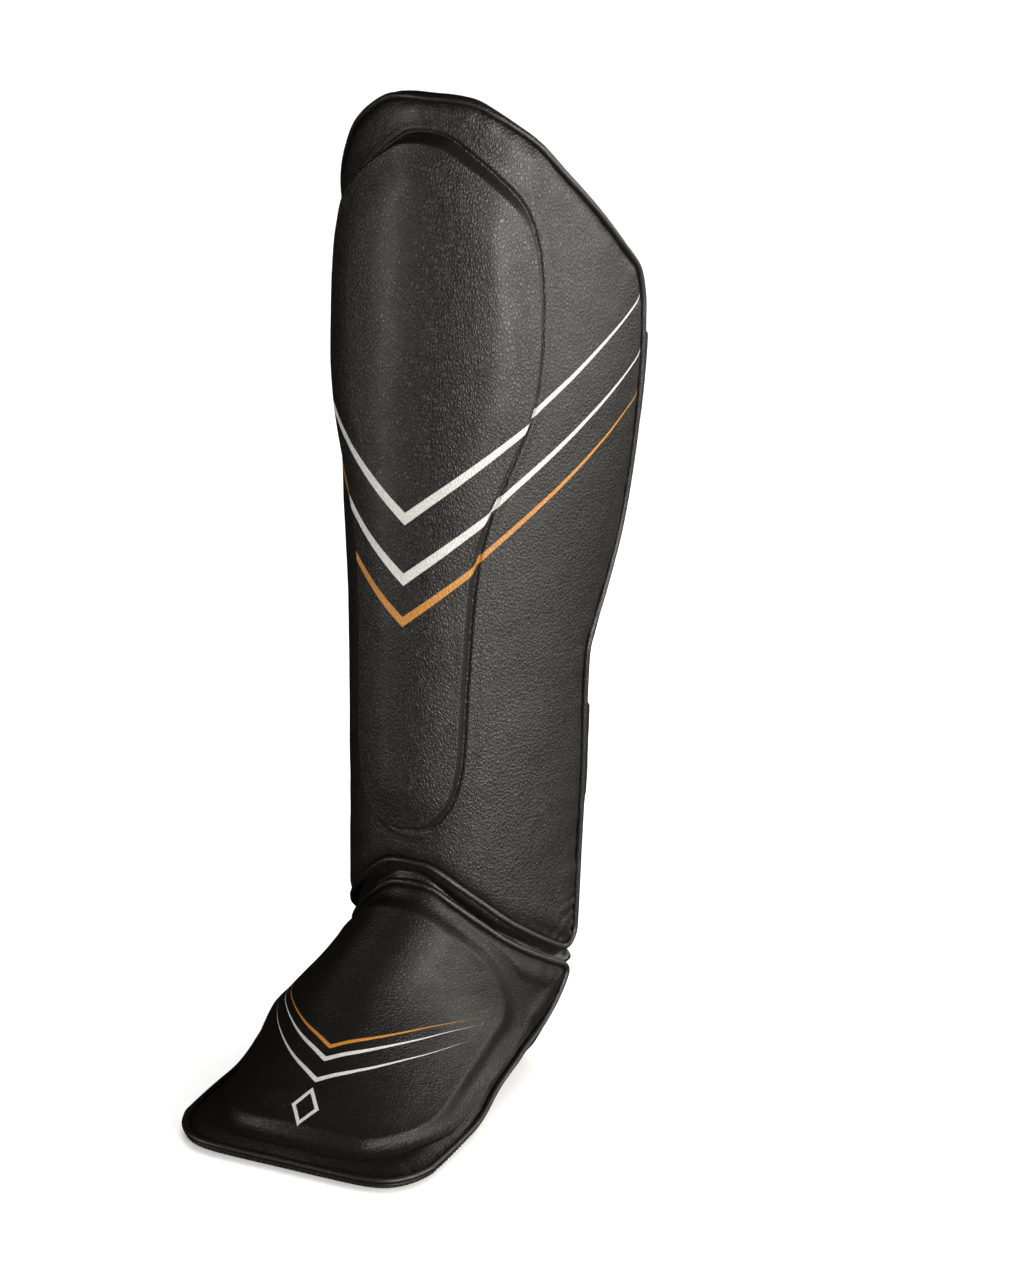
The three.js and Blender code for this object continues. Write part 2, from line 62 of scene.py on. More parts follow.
# The guard's own sizes in millimetres, laid out as the CAD is before it is centred: the front of the ankle
# arch at y = 0, the floor at z = 0, the shin facing -Y.
SHIN_LENGTH = 373.0
ANKLE_HEIGHT = 125.0
WING_REACH = 131.0
KNEE_HALF_WIDTH = 79.0
KNEE_DEPTH = 99.0
SHELL_WALL = 18.0
WING_WALL = 13.0
SHELL_RIM = 9.0
RIM_BULGE = 3.0
LINING_WALL = 2.0
PIPING_RADIUS = 1.7
BAR_HEIGHT = 11.0
TOE_REACH = 104.0
TOE_SWEEP = 22.0
INSTEP_TURN = 14.0
INSTEP_HALF_WIDTH = 65.5
INSTEP_WALL = 15.0
TOE_PAD = 6.5
INSTEP_RISE = 5.0
TOE_WALL = 7.0
FLOOR_RING = 9.0
GUSSET_DROP = (14.0, 9.0)
GUSSET_TUCK = 4.0
GUSSET_WALL = 3.0
STRAP_WIDTH = 52.0
STRAP_WALL = 3.5
FLAP_WALL = 3.0
TAB_REACH = 6.0
STRAP_PULL = (26.0, 34.0)
FLAP_START = 0.46
STRAP_END = 0.93
SEAT = 0.4

# Leg form: up, width, depth, set back.
LEG = np.array([
    (-0.2, 0.75, 0.86, -0.02),
    (0.0, 0.77, 0.87, 0.0),
    (0.3, 0.83, 0.89, 0.06),
    (0.6, 0.97, 0.97, 0.13),
    (0.8, 1.0, 1.0, 0.18),
    (1.0, 1.0, 1.0, 0.24),
])
# Half patterns: reach, up.
SHELL_PATTERN = {
    "top": [(0, 1), (0.12, 0.999), (0.23, 0.99), (0.42, 0.951), (0.56, 0.903), (0.7, 0.853),
            (0.83, 0.803), (0.93, 0.765), (0.976, 0.732)],
    "side": [(0.8, -0.17), (0.815, -0.13), (0.82, 0.05), (0.8, 0.21), (0.81, 0.27), (0.89, 0.335),
             (0.965, 0.41), (0.995, 0.5), (1, 0.62), (0.976, 0.732)],
    "bottom": [(0, 0), (0.1, -0.004), (0.19, -0.02), (0.33, -0.055), (0.48, -0.098), (0.65, -0.142),
               (0.76, -0.168), (0.8, -0.17)],
}
BAR_PATTERN = {
    "top": [(0, 0.959), (0.09, 0.954), (0.18, 0.935), (0.29, 0.906), (0.39, 0.871), (0.45, 0.828)],
    "side": [(0.2, 0.085), (0.232, 0.14), (0.24, 0.25), (0.256, 0.38), (0.295, 0.458), (0.37, 0.527),
             (0.45, 0.6), (0.478, 0.663), (0.478, 0.753), (0.45, 0.828)],
    "bottom": [(0, 0.044), (0.08, 0.048), (0.145, 0.062), (0.2, 0.085)],
}
# Instep side: out, back and up of the seam, under and lift of the wall's foot. Crown: back, up.
INSTEP_SIDE = [
    (1.0, -0.79, 0.0, 0.0, 0.0),
    (1.014, -0.563, 0.0, 0.014, 0.0),
    (1.016, -0.258, 0.008, 0.053, 0.0),
    (1.01, -0.057, 0.064, 0.107, 0.0),
    (1.035, 0.163, 0.132, 0.2, 0.0),
    (0.945, 0.43, 0.178, 0.24, 0.0),
    (0.91, 0.555, 0.262, 0.19, 0.0),
    (0.905, 0.633, 0.373, 0.148, 0.2),
]
INSTEP_CROWN = [(0, 0), (0.24, 0.12), (0.47, 0.258), (0.7, 0.436), (0.89, 0.634), (1.022, 0.832)]
# Raised middle of the instep: across, from and to, how much narrower at its ends, how far its corners lie in.
RAISED = {"across": 0.82, "from": 0.1, "to": 0.93, "taper": 0.12, "bow": 0.05}

# The CAD moved the middle of its box over the origin: the toe edge tells how far.
MOVED = np.array([0, 1000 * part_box("instep_pad")[0].y + TOE_REACH, 0])


# Curves and surfaces, each a function of numpy arrays.

def read(table, column, at):
    """A column of a table, read smoothly at places of its first column and run on straight past its ends."""
    places, values = table[:, 0], table[:, column]
    last = len(table) - 1
    ends = [(max(k - 1, 0), min(k + 1, last)) for k in range(last + 1)]
    slopes = np.array([(values[b] - values[a]) / (places[b] - places[a]) for a, b in ends])
    at = np.asarray(at, float)
    k = np.searchsorted(places[1:-1], at, side="left")
    span = places[k + 1] - places[k]
    t = (at - places[k]) / span
    inside = np.clip(t, 0, 1)
    value = (
        (2 * inside ** 3 - 3 * inside ** 2 + 1) * values[k]
        + (inside ** 3 - 2 * inside ** 2 + inside) * span * slopes[k]
        + (3 * inside ** 2 - 2 * inside ** 3) * values[k + 1]
        + (inside ** 3 - inside ** 2) * span * slopes[k + 1]
    )
    return value + np.where(t < 0, slopes[k], slopes[k + 1]) * span * (t - inside)


def spline(points, centripetal=False, steps=60):
    """A Catmull-Rom curve through points, as a function of the share of its length."""
    points = np.array(points, float)
    if centripetal:
        before, after = 2 * points[0] - points[1], 2 * points[-1] - points[-2]
    else:
        before, after = points[0], points[-1]
    padded = np.vstack([before, points, after])
    t = np.linspace(0, 1, steps, endpoint=False)[:, None]
    parts = []
    for k in range(len(points) - 1):
        a, b, c, d = padded[k:k + 4]
        if centripetal:
            first, second, third = (
                max(np.linalg.norm(q - p), 1e-4) ** 0.5 for p, q in ((a, b), (b, c), (c, d)))
            start = ((b - a) / first - (c - a) / (first + second) + (c - b) / second) * second
            end = ((c - b) / second - (d - b) / (second + third) + (d - c) / third) * second
        else:
            start, end = (c - a) / 2, (d - b) / 2
        cubic = 2 * b - 2 * c + start + end
        square = 3 * c - 3 * b - 2 * start - end
        parts.append(cubic * t ** 3 + square * t ** 2 + start * t + b)
    line = np.vstack(parts + [points[-1:]])
    return by_length(line)


def by_length(line):
    """A line of points, as a function of the share of its length."""
    run = np.concatenate([[0], np.cumsum(np.linalg.norm(np.diff(line, axis=0), axis=1))])
    run /= run[-1]
    return lambda share: np.stack([np.interp(share, run, line[:, k]) for k in range(line.shape[1])], -1)


def unit(vectors):
    return vectors / np.maximum(np.linalg.norm(vectors, axis=-1, keepdims=True), 1e-9)


def smooth(t):
    t = np.clip(t, 0, 1)
    return t * t * (3 - 2 * t)


def flat_pattern(pattern):
    """A pattern's point in millimetres by its place across, -1 to 1, and up, 0 to 1."""
    size = np.array([WING_REACH, SHIN_LENGTH])
    top, side, bottom = (spline(np.array(pattern[k], float) * size) for k in ("top", "side", "bottom"))

    def at(across, up):
        across, up = np.broadcast_arrays(np.asarray(across, float), np.asarray(up, float))
        s, u = np.abs(across)[..., None], up[..., None]
        flat = (1 - u) * bottom(s[..., 0]) + u * top(s[..., 0]) + s * side(up)
        flat = flat - s * (1 - u) * bottom(1.0) - s * u * top(1.0)
        return flat * np.stack([np.sign(across), np.ones_like(across)], -1)
    return at


def wrap(flat):
    """The pattern wrapped round the leg form."""
    up = flat[..., 1] / SHIN_LENGTH
    half = read(LEG, 1, up) * KNEE_HALF_WIDTH
    depth = read(LEG, 2, up) * KNEE_DEPTH
    back = read(LEG, 3, up) * KNEE_DEPTH
    turn = flat[..., 0] / np.sqrt((half ** 2 + depth ** 2) / 2)
    return np.stack([half * np.sin(turn), back + depth * (1 - np.cos(turn)), ANKLE_HEIGHT + flat[..., 1]], -1)


def flat_normal(flat, step=1.0):
    x, y = np.array([step, 0]), np.array([0, step])
    return unit(np.cross(wrap(flat + x) - wrap(flat - x), wrap(flat + y) - wrap(flat - y)))


def normal_of(surface, across, along, step=0.02):
    across, along = np.broadcast_arrays(np.asarray(across, float), np.asarray(along, float))
    left, right = np.clip(across - step, -1, 1), np.clip(across + step, -1, 1)
    low, high = np.clip(along - step, 0, 1), np.clip(along + step, 0, 1)
    wide = surface(right, along) - surface(left, along)
    tall = surface(across, high) - surface(across, low)
    return unit(np.cross(wide, tall))


shell_flat = flat_pattern(SHELL_PATTERN)
bar_flat = flat_pattern(BAR_PATTERN)


def shell_face(across, up):
    return wrap(shell_flat(across, up))


def from_edge(across, along, share):
    """0 at a patch's edges, 1 from a share of its size inwards."""
    return smooth(np.minimum(1 - np.abs(across), np.minimum(2 * along, 2 - 2 * along)) / share)


def shell_thickness(across, up):
    pad = SHELL_WALL + (WING_WALL - SHELL_WALL) * smooth((np.abs(across) - 0.3) / 0.4)
    return SHELL_RIM + (pad - SHELL_RIM) * from_edge(across, up, 0.25)


def instep_top(across):
    across = np.asarray(across, float)
    arch = shell_face(across, np.zeros_like(across))
    arch = arch - GUSSET_TUCK * normal_of(shell_face, across, np.zeros_like(across))
    arch[..., 2] -= GUSSET_DROP[0] + (GUSSET_DROP[1] - GUSSET_DROP[0]) * across ** 2
    return arch


def toe_edge(across):
    across = np.asarray(across, float)
    x = INSTEP_HALF_WIDTH * across
    return np.stack([x, -TOE_REACH + TOE_SWEEP * across ** 8, np.full_like(across, TOE_WALL)], -1)


# Powers of across: how late the pad leaves its crown for its sides, and how late its inside pulls in.
SIDE_POWER = 2.4
RING_POWER = 4
# Shares of the pad's length: where its turn to one side begins to fade, where its wall is as thick as it
# gets, and what its inside takes, across and along, to rise off the floor.
TURN_FADE = 0.6
FULL_WALL = 0.6
INNER_STEP = (0.17, 0.14)

seam_curve = spline([(out * INSTEP_HALF_WIDTH, back * TOE_REACH, TOE_WALL + up * ANKLE_HEIGHT)
                     for out, back, up, under, lift in INSTEP_SIDE], centripetal=True)
foot_curve = spline([((out - under) * INSTEP_HALF_WIDTH, back * TOE_REACH, lift * ANKLE_HEIGHT)
                     for out, back, up, under, lift in INSTEP_SIDE], centripetal=True)
crown_curve = spline([(0, (b - 1) * TOE_REACH, TOE_WALL + u * ANKLE_HEIGHT) for b, u in INSTEP_CROWN],
                     centripetal=True)


def on_side(curve, along, lowest):
    """A point of a side curve, held above a height."""
    point = curve(along)
    point[..., 2] = np.maximum(point[..., 2], lowest)
    return point


def instep_face(across, along):
    across, along = np.broadcast_arrays(np.asarray(across, float), np.asarray(along, float))
    side, a = (np.abs(across) ** SIDE_POWER)[..., None], along[..., None]

    def blend(share):
        return toe_edge(share) * (1 - a) + instep_top(share) * a

    zero, one = np.zeros_like(across), np.ones_like(across)
    corner = on_side(seam_curve, along, TOE_WALL) - blend(one)
    corner[..., 0] *= np.sign(across)
    point = blend(across) + (crown_curve(along) - blend(zero)) * (1 - side) + corner * side
    point[..., 0] -= INSTEP_TURN * (1 - smooth((along - TURN_FADE) / (1 - TURN_FADE)))
    return point


def through_instep(across, along, share):
    wall = TOE_PAD + (INSTEP_WALL - TOE_PAD) * smooth(along / FULL_WALL) * (1 - across ** RING_POWER)
    return normal_of(instep_face, across, along) * (-wall * share)[..., None]


def sole_step(across, along):
    """The step from the pad's seam down to the foot of its side wall."""
    side = (np.abs(across) ** SIDE_POWER)[..., None]
    foot = on_side(foot_curve, along, 0) - on_side(seam_curve, along, TOE_WALL)
    foot[..., 0] *= np.sign(across)
    return foot * side + np.array([0, 0, -TOE_WALL]) * (1 - side)


def instep_inner(across, along):
    across, along = np.broadcast_arrays(np.asarray(across, float), np.asarray(along, float))
    sideways = -np.sign(across) * across ** RING_POWER
    inward = np.stack([sideways, np.clip(1 - along, 0, 1) ** RING_POWER, np.zeros_like(across)], -1)
    inward = unit(inward + np.array([0, 1e-6, 0])) * FLOOR_RING + sole_step(across, along)
    share = smooth(np.minimum((1 - np.abs(across)) / INNER_STEP[0], along / INNER_STEP[1]))[..., None]
    return instep_face(across, along) + inward * (1 - share) + through_instep(across, along, 1) * share


# Meshes.

def clustered(cells, pull=0.6):
    """Places from 0 to 1 that lie closer together towards both ends."""
    t = np.linspace(0, 1, cells + 1)
    return (1 - pull) * t + pull * (0.5 - 0.5 * np.cos(np.pi * t))


def round_corners(across, along, wide, low, high):
    """Pulls a patch's corners in to quarter rounds. wide is their share of the half width, low and high their
    share of the length at either end."""
    x, y = np.abs(across), along.copy()
    for share, end in ((low, 0), (high, 1)):
        p = np.clip((x - (1 - wide)) / wide, 0, 1)
        depth = y if end == 0 else 1 - y
        q = np.clip((share - depth) / share, 0, 1)
        inside = (p > 0) & (q > 0)
        x = np.where(inside, 1 - wide + wide * p * np.sqrt(1 - q * q / 2), x)
        deeper = share - share * q * np.sqrt(1 - p * p / 2)
        y = np.where(inside, deeper if end == 0 else 1 - deeper, y)
    return np.sign(across) * x, y


def grid(across_cells, along_cells, corner=None, pull=0.6):
    across, along = np.meshgrid(2 * clustered(across_cells, pull) - 1, clustered(along_cells, pull))
    return round_corners(across, along, *corner) if corner else (across, along)


def border_index(rows, columns):
    """Indices round the edge of a grid, anticlockwise as seen from the front."""
    index = np.arange(rows * columns).reshape(rows, columns)
    return np.concatenate([index[0, :-1], index[:-1, -1], index[-1, :0:-1], index[:0:-1, 0]])


def distance_to(points, line, batch=2000):
    """Distance from each point to a closed line, and the length along the line to the nearest place on it."""
    flat = points.reshape(-1, points.shape[-1])
    best, place = np.full(len(flat), 1e9), np.zeros(len(flat))
    a, b = line, np.roll(line, -1, axis=0)
    run = b - a
    square = np.maximum((run ** 2).sum(-1), 1e-9)
    begin = np.concatenate([[0], np.cumsum(np.sqrt(square))[:-1]])
    for start in range(0, len(flat), batch):
        part = flat[start:start + batch]
        t = np.clip(((part[:, None] - a) * run).sum(-1) / square, 0, 1)
        apart = np.linalg.norm(part[:, None] - (a + t[..., None] * run), axis=-1)
        k = apart.argmin(1)
        row = np.arange(len(part))
        best[start:start + batch] = apart[row, k]
        place[start:start + batch] = begin[k] + t[row, k] * np.sqrt(square[k])
    shape = points.shape[:-1]
    return best.reshape(shape), place.reshape(shape)


def signed_distance(points, outline):
    """Distance from flat points to a closed outline, negative outside it."""
    x, y = points[..., 0], points[..., 1]
    inside = np.zeros(x.shape, bool)
    for (x0, y0), (x1, y1) in zip(outline, np.roll(outline, -1, 0)):
        if y0 != y1:
            spans = (y0 > y) != (y1 > y)
            inside ^= spans & (x < (x1 - x0) * (y - y0) / (y1 - y0) + x0)
    apart, _ = distance_to(points, outline)
    return np.where(inside, apart, -apart)


def build(name, points, faces, material, flat=None):
    """A piece from points laid out in millimetres. flat is an attribute for the material: two lengths on the
    piece's own pattern, and 1 where it may be printed on."""
    mesh = bpy.data.meshes.new(name)
    metres = (np.asarray(points) + MOVED) / 1000
    mesh.from_pydata(metres.tolist(), [], [tuple(int(i) for i in f) for f in faces])
    mesh.polygons.foreach_set("use_smooth", [True] * len(mesh.polygons))
    if flat is not None:
        layer = mesh.attributes.new("flat", "FLOAT_VECTOR", "POINT")
        layer.data.foreach_set("vector", np.asarray(flat, np.float32).ravel())
    mesh.materials.append(material)
    obj = bpy.data.objects.new(name, mesh)
    bpy.context.scene.collection.objects.link(obj)
    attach(obj, "root")
    return obj


def grid_quads(rows, columns, offset=0, flip=False):
    index = np.arange(rows * columns).reshape(rows, columns) + offset
    quads = np.stack([index[:-1, :-1], index[:-1, 1:], index[1:, 1:], index[1:, :-1]], -1).reshape(-1, 4)
    return quads[:, ::-1] if flip else quads


def pad(name, front, rim, back, material, slot, flat=None, rim_flat=None):
    """A closed pad from a front grid, rows of points round its edge, and a back grid."""
    rows, columns = front.shape[:2]
    border = border_index(rows, columns)
    count = rows * columns
    points = [front.reshape(-1, 3), back.reshape(-1, 3), *rim]
    rings = [border] + [2 * count + k * len(border) + np.arange(len(border)) for k in range(len(rim))]
    rings.append(border + count)
    faces = [grid_quads(rows, columns), grid_quads(rows, columns, count, flip=True)]
    for a, b in zip(rings, rings[1:]):
        faces.append(np.stack([a, b, np.roll(b, -1), np.roll(a, -1)], -1))
    if flat is not None:
        flat = flat.reshape(-1, 2)
        sides = rim_flat if rim_flat is not None else [flat[border]] * len(rim)
        layers = [np.c_[flat, np.ones(count)], np.c_[flat, np.zeros(count)]]
        flat = np.vstack(layers + [np.c_[side, np.ones(len(border))] for side in sides])
    return build(name, np.vstack(points), np.vstack(faces), material, flat)


def tube(name, centres, radius, material, sides=10, closed=True):
    """A tube along a line of points."""
    centres = np.asarray(centres, float)
    if closed:
        tangent = unit(np.roll(centres, -1, 0) - np.roll(centres, 1, 0))
    else:
        tangent = unit(np.gradient(centres, axis=0))
    spoke = np.cross(tangent[0], [0, 0, 1.0])
    if np.linalg.norm(spoke) < 1e-3:
        spoke = np.cross(tangent[0], [1.0, 0, 0])
    spokes = []
    for t in tangent:
        spoke = spoke - t * (spoke @ t)
        spoke = spoke / np.linalg.norm(spoke)
        spokes.append(spoke)
    spokes = np.array(spokes)
    other = np.cross(tangent, spokes)
    if closed:
        # Spread the frame's leftover twist over the whole ring.
        last = spokes[-1] - tangent[0] * (spokes[-1] @ tangent[0])
        last /= np.linalg.norm(last)
        twist = math.atan2(last @ other[0], last @ spokes[0])
        turn = -twist * np.arange(len(centres)) / len(centres)
    else:
        turn = np.zeros(len(centres))
    angle = turn[:, None] + 2 * np.pi * np.arange(sides) / sides
    around = np.cos(angle)[..., None] * spokes[:, None] + np.sin(angle)[..., None] * other[:, None]
    ring = centres[:, None] + radius * around
    n = len(centres)
    index = np.arange(n * sides).reshape(n, sides)
    following = np.roll(index, -1, 0) if closed else index[1:]
    here = index if closed else index[:-1]
    quads = np.stack([here, np.roll(here, -1, 1), np.roll(following, -1, 1), following], -1).reshape(-1, 4)
    points = ring.reshape(-1, 3)
    faces = [tuple(q) for q in quads]
    if not closed:
        faces += [tuple(index[0][::-1]), tuple(index[-1])]
    return build(name, points, faces, material)


# Materials.

class Shader:
    """A material's node tree, with a short way to add each kind of node used here."""

    def __init__(self, name):
        self.material = bpy.data.materials.new(name)
        self.material.use_nodes = True
        self.tree = self.material.node_tree
        self.principled = self.tree.nodes["Principled BSDF"]
        self.place = self.node("TexCoord").outputs["Object"]

    def node(self, kind, **settings):
        made = self.tree.nodes.new("ShaderNode" + kind)
        for key, value in settings.items():
            setattr(made, key, value)
        return made

    def put(self, socket, value):
        if isinstance(value, bpy.types.NodeSocket):
            self.tree.links.new(value, socket)
        else:
            socket.default_value = value

    def math(self, operation, *values):
        made = self.node("Math", operation=operation)
        for socket, value in zip(made.inputs, values):
            self.put(socket, value)
        return made.outputs[0]

    def moved(self, place, scale=(1, 1, 1)):
        made = self.node("Mapping")
        self.put(made.inputs["Vector"], place)
        made.inputs["Scale"].default_value = scale
        return made.outputs[0]

    def noise(self, place, scale, detail=2.0, output="Fac"):
        made = self.node("TexNoise")
        self.put(made.inputs["Vector"], place)
        made.inputs["Scale"].default_value = scale
        made.inputs["Detail"].default_value = detail
        return made.outputs[output]

    def swirled(self, place, scale, amount):
        """The place, shifted about by up to an amount in metres."""
        swirl = self.noise(place, scale, output="Color")
        shift = self.node("VectorMath", operation="MULTIPLY_ADD")
        self.put(shift.inputs[0], swirl)
        shift.inputs[1].default_value = (amount,) * 3
        self.put(shift.inputs[2], place)
        return shift.outputs[0]

    def cells(self, place, scale):
        """0 on the creases between cells, up to about 0.5 in their middles."""
        made = self.node("TexVoronoi", feature="DISTANCE_TO_EDGE")
        self.put(made.inputs["Vector"], place)
        made.inputs["Scale"].default_value = scale
        return made.outputs["Distance"]

    def ramp(self, value, low, high, start=0.0, end=1.0):
        made = self.node("MapRange", interpolation_type="SMOOTHSTEP")
        self.put(made.inputs["Value"], value)
        for key, number in (("From Min", low), ("From Max", high), ("To Min", start), ("To Max", end)):
            made.inputs[key].default_value = number
        return made.outputs["Result"]

    def mix(self, share, a, b):
        made = self.node("Mix", data_type="RGBA")
        self.put(made.inputs["Factor"], share)
        self.put(made.inputs[6], a)
        self.put(made.inputs[7], b)
        return made.outputs[2]

    def bump(self, height, distance, strength=1.0):
        made = self.node("Bump")
        self.put(made.inputs["Height"], height)
        made.inputs["Distance"].default_value = distance
        made.inputs["Strength"].default_value = strength
        self.put(self.principled.inputs["Normal"], made.outputs["Normal"])


INK_EDGE = 0.12


def print_mask(shader, marks):
    """1 on the printed lines of one colour. A chevron is its apex, slope, curve, reach and width. A diamond
    is its middle, half height, half width and line width. All are in millimetres on the pattern."""
    flat = shader.node("Attribute", attribute_name="flat").outputs["Vector"]
    parts = shader.node("SeparateXYZ")
    shader.put(parts.inputs[0], flat)
    x = shader.math("ABSOLUTE", parts.outputs["X"])
    y = parts.outputs["Y"]
    total = None
    for kind, *sizes in marks:
        if kind == "chevron":
            apex, slope, curve, reach, width = sizes
            rise = shader.math("MULTIPLY_ADD", x, curve, slope)
            line = shader.math("MULTIPLY_ADD", x, rise, apex)
            off = shader.math("ABSOLUTE", shader.math("SUBTRACT", y, line))
            half = width / 2 * math.hypot(1, slope)
            edge = shader.math("MULTIPLY_ADD", x, -half / reach, half)
            inside = shader.math("SUBTRACT", edge, off)
        else:
            middle, tall, wide, width = sizes
            up = shader.math("ABSOLUTE", shader.math("SUBTRACT", y, middle))
            ring = shader.math("ADD", shader.math("DIVIDE", up, tall), shader.math("DIVIDE", x, wide))
            off = shader.math("ABSOLUTE", shader.math("SUBTRACT", ring, 1.0))
            inside = shader.math("MULTIPLY_ADD", off, -wide * tall / math.hypot(wide, tall), width / 2)
        mark = shader.ramp(inside, -INK_EDGE, INK_EDGE)
        total = mark if total is None else shader.math("MAXIMUM", total, mark)
    return shader.math("MULTIPLY", total, parts.outputs["Z"])


WHITE_INK = (0.41, 0.405, 0.40, 1)
ORANGE_INK = (0.34, 0.135, 0.013, 1)


def scaled(tone, factor):
    return tuple(factor * c for c in tone) + (1,)


def leather(name, tone, grain, stretch, depth, rough, coat=0.12, specular=0.5, white=(), orange=()):
    """Pebbled leather: domed cells split by fine creases, painted darker there as a painted shade, on broader
    wrinkles, worn a little paler in places.
    grain is cells in a metre, stretch their shape, depth their height in metres, rough their roughness."""
    shader = Shader(name)
    stretched = shader.moved(shader.place, stretch)
    place = shader.swirled(stretched, 160.0, 0.0022)
    pebbles = shader.ramp(shader.cells(place, grain), 0.0, 0.30)
    small = shader.ramp(shader.cells(place, grain * 2.3), 0.0, 0.35)
    broad = shader.noise(stretched, 42.0, 4.0)
    fine = shader.noise(stretched, grain * 3.0, 2.0)
    height = shader.math("MULTIPLY_ADD", small, 0.35, pebbles)
    height = shader.math("MULTIPLY_ADD", broad, 2.4, height)
    height = shader.math("MULTIPLY_ADD", fine, 0.2, height)
    shader.bump(height, depth)
    wear = shader.ramp(shader.noise(shader.place, 14.0, 3.0), 0.35, 0.75)
    worn = shader.mix(wear, scaled(tone, 1), scaled(tone, 1.35))
    # The colour is painted darker in the grain's creases, a painted shade in them; the paler worn patches are
    # random wear.
    colour = shader.mix(pebbles, scaled(tone, 0.55), worn)
    dull = shader.ramp(pebbles, 0.0, 1.0, rough + 0.14, rough)
    dull = shader.math("MULTIPLY_ADD", wear, -0.05, dull)
    for ink, marks in ((WHITE_INK, white), (ORANGE_INK, orange)):
        if marks:
            mask = print_mask(shader, marks)
            mask = shader.math("MULTIPLY", mask, shader.ramp(pebbles, 0.0, 0.6, 0.86, 1.0))
            colour = shader.mix(mask, colour, ink)
    shader.put(shader.principled.inputs["Base Color"], colour)
    shader.put(shader.principled.inputs["Roughness"], dull)
    shader.principled.inputs["Specular IOR Level"].default_value = specular
    shader.principled.inputs["Coat Weight"].default_value = coat
    shader.principled.inputs["Coat Roughness"].default_value = 0.32
    return shader.material


def brushed(name, tone, ribs=None):
    """Brushed or ribbed fabric: fibres that catch a little light at its edges, its raised fibres and ribs
    painted paler as a painted highlight and its hollows painted darker as a painted shade.
    """
    shader = Shader(name)
    fibres = shader.noise(shader.swirled(shader.place, 300.0, 0.003), 1500.0, 3.0)
    patches = shader.noise(shader.place, 30.0, 3.0)
    height = shader.math("MULTIPLY_ADD", patches, 0.8, fibres)
    if ribs:
        wave = shader.node("TexWave", wave_type="BANDS", bands_direction=ribs)
        shader.put(wave.inputs["Vector"], shader.place)
        wave.inputs["Scale"].default_value = 420.0
        wave.inputs["Distortion"].default_value = 0.6
        height = shader.math("MULTIPLY_ADD", wave.outputs["Fac"], 1.4, height)
    shader.bump(height, 0.0003, 0.9)
    # The colour follows the height: a painted highlight on raised fibres and ribs, and a painted shade in the
    # hollows between them; the broad patches vary at random.
    colour = shader.mix(shader.ramp(height, 0.5, 1.2), scaled(tone, 0.6), scaled(tone, 1.7))
    shader.put(shader.principled.inputs["Base Color"], colour)
    shader.principled.inputs["Roughness"].default_value = 0.92
    shader.principled.inputs["Sheen Weight"].default_value = 0.25
    shader.principled.inputs["Sheen Roughness"].default_value = 0.5
    return shader.material


def thread(name, tone):
    """Twisted sewing thread, painted darker in the grooves of its twist as a painted shade."""
    shader = Shader(name)
    twist = shader.node("TexWave", wave_type="BANDS", bands_direction="DIAGONAL")
    shader.put(twist.inputs["Vector"], shader.place)
    twist.inputs["Scale"].default_value = 900.0
    shader.bump(twist.outputs["Fac"], 0.0001)
    # The twist's grooves are painted darker, a painted shade.
    colour = shader.mix(twist.outputs["Fac"], scaled(tone, 0.5), scaled(tone, 1))
    shader.put(shader.principled.inputs["Base Color"], colour)
    shader.principled.inputs["Roughness"].default_value = 0.6
    return shader.material


def gel(name, tone, rough):
    """Moulded gel: glossy, with faint flow marks and specks of dust."""
    shader = Shader(name)
    flow = shader.noise(shader.place, 90.0, 3.0)
    shader.bump(flow, 0.0004, 0.5)
    dust = shader.ramp(shader.noise(shader.place, 2600.0, 1.0), 0.68, 0.76)
    shader.put(shader.principled.inputs["Roughness"], shader.ramp(flow, 0.3, 0.7, rough, rough + 0.1))
    pale = tuple(min(3.0 * c + 0.02, 1) for c in tone) + (1,)
    shader.put(shader.principled.inputs["Base Color"], shader.mix(dust, scaled(tone, 1), pale))
    shader.principled.inputs["Coat Weight"].default_value = 0.6
    shader.principled.inputs["Coat Roughness"].default_value = 0.06
    return shader.material


BLACK = (0.0058, 0.0053, 0.0044)
shin_leather = leather(
    "shin_leather", BLACK, 700.0, (1, 1, 0.62), 0.00014, 0.39,
    white=[("chevron", 176.0, 0.86, -0.0008, 150.0, 4.6), ("chevron", 146.0, 0.86, -0.0008, 150.0, 4.6)],
    orange=[("chevron", 125.0, 0.86, -0.0008, 150.0, 3.8)],
)
instep_leather = leather(
    "instep_leather", BLACK, 660.0, (0.62, 1, 1), 0.00012, 0.38, coat=0.08, specular=0.25,
    white=[("chevron", 54.0, 0.7, 0.010, 44.0, 2.2), ("chevron", 42.0, 0.7, 0.010, 44.0, 2.2),
           ("diamond", 27.0, 9.0, 5.5, 1.6)],
    orange=[("chevron", 61.0, 0.7, 0.010, 42.0, 1.8)],
)
TRIM_BLACK = (0.005, 0.0046, 0.004)
STRAP_BLACK = (0.0056, 0.0052, 0.0045)
trim_leather = leather("trim_leather", TRIM_BLACK, 760.0, (1, 1, 0.8), 0.00010, 0.36, coat=0.2)
strap_leather = leather("strap_leather", STRAP_BLACK, 600.0, (1, 1, 0.7), 0.00016, 0.36, coat=0.2)
lining_fabric = brushed("lining_fabric", (0.006, 0.006, 0.006))
elastic_webbing = brushed("elastic_webbing", (0.011, 0.011, 0.011), ribs="X")
black_thread = thread("black_thread", (0.02, 0.019, 0.018))
badge_gel = gel("badge_gel", (0.006, 0.006, 0.006), 0.10)
orange_gel = gel("orange_gel", (0.42, 0.13, 0.02), 0.22)


# Shell and bar.

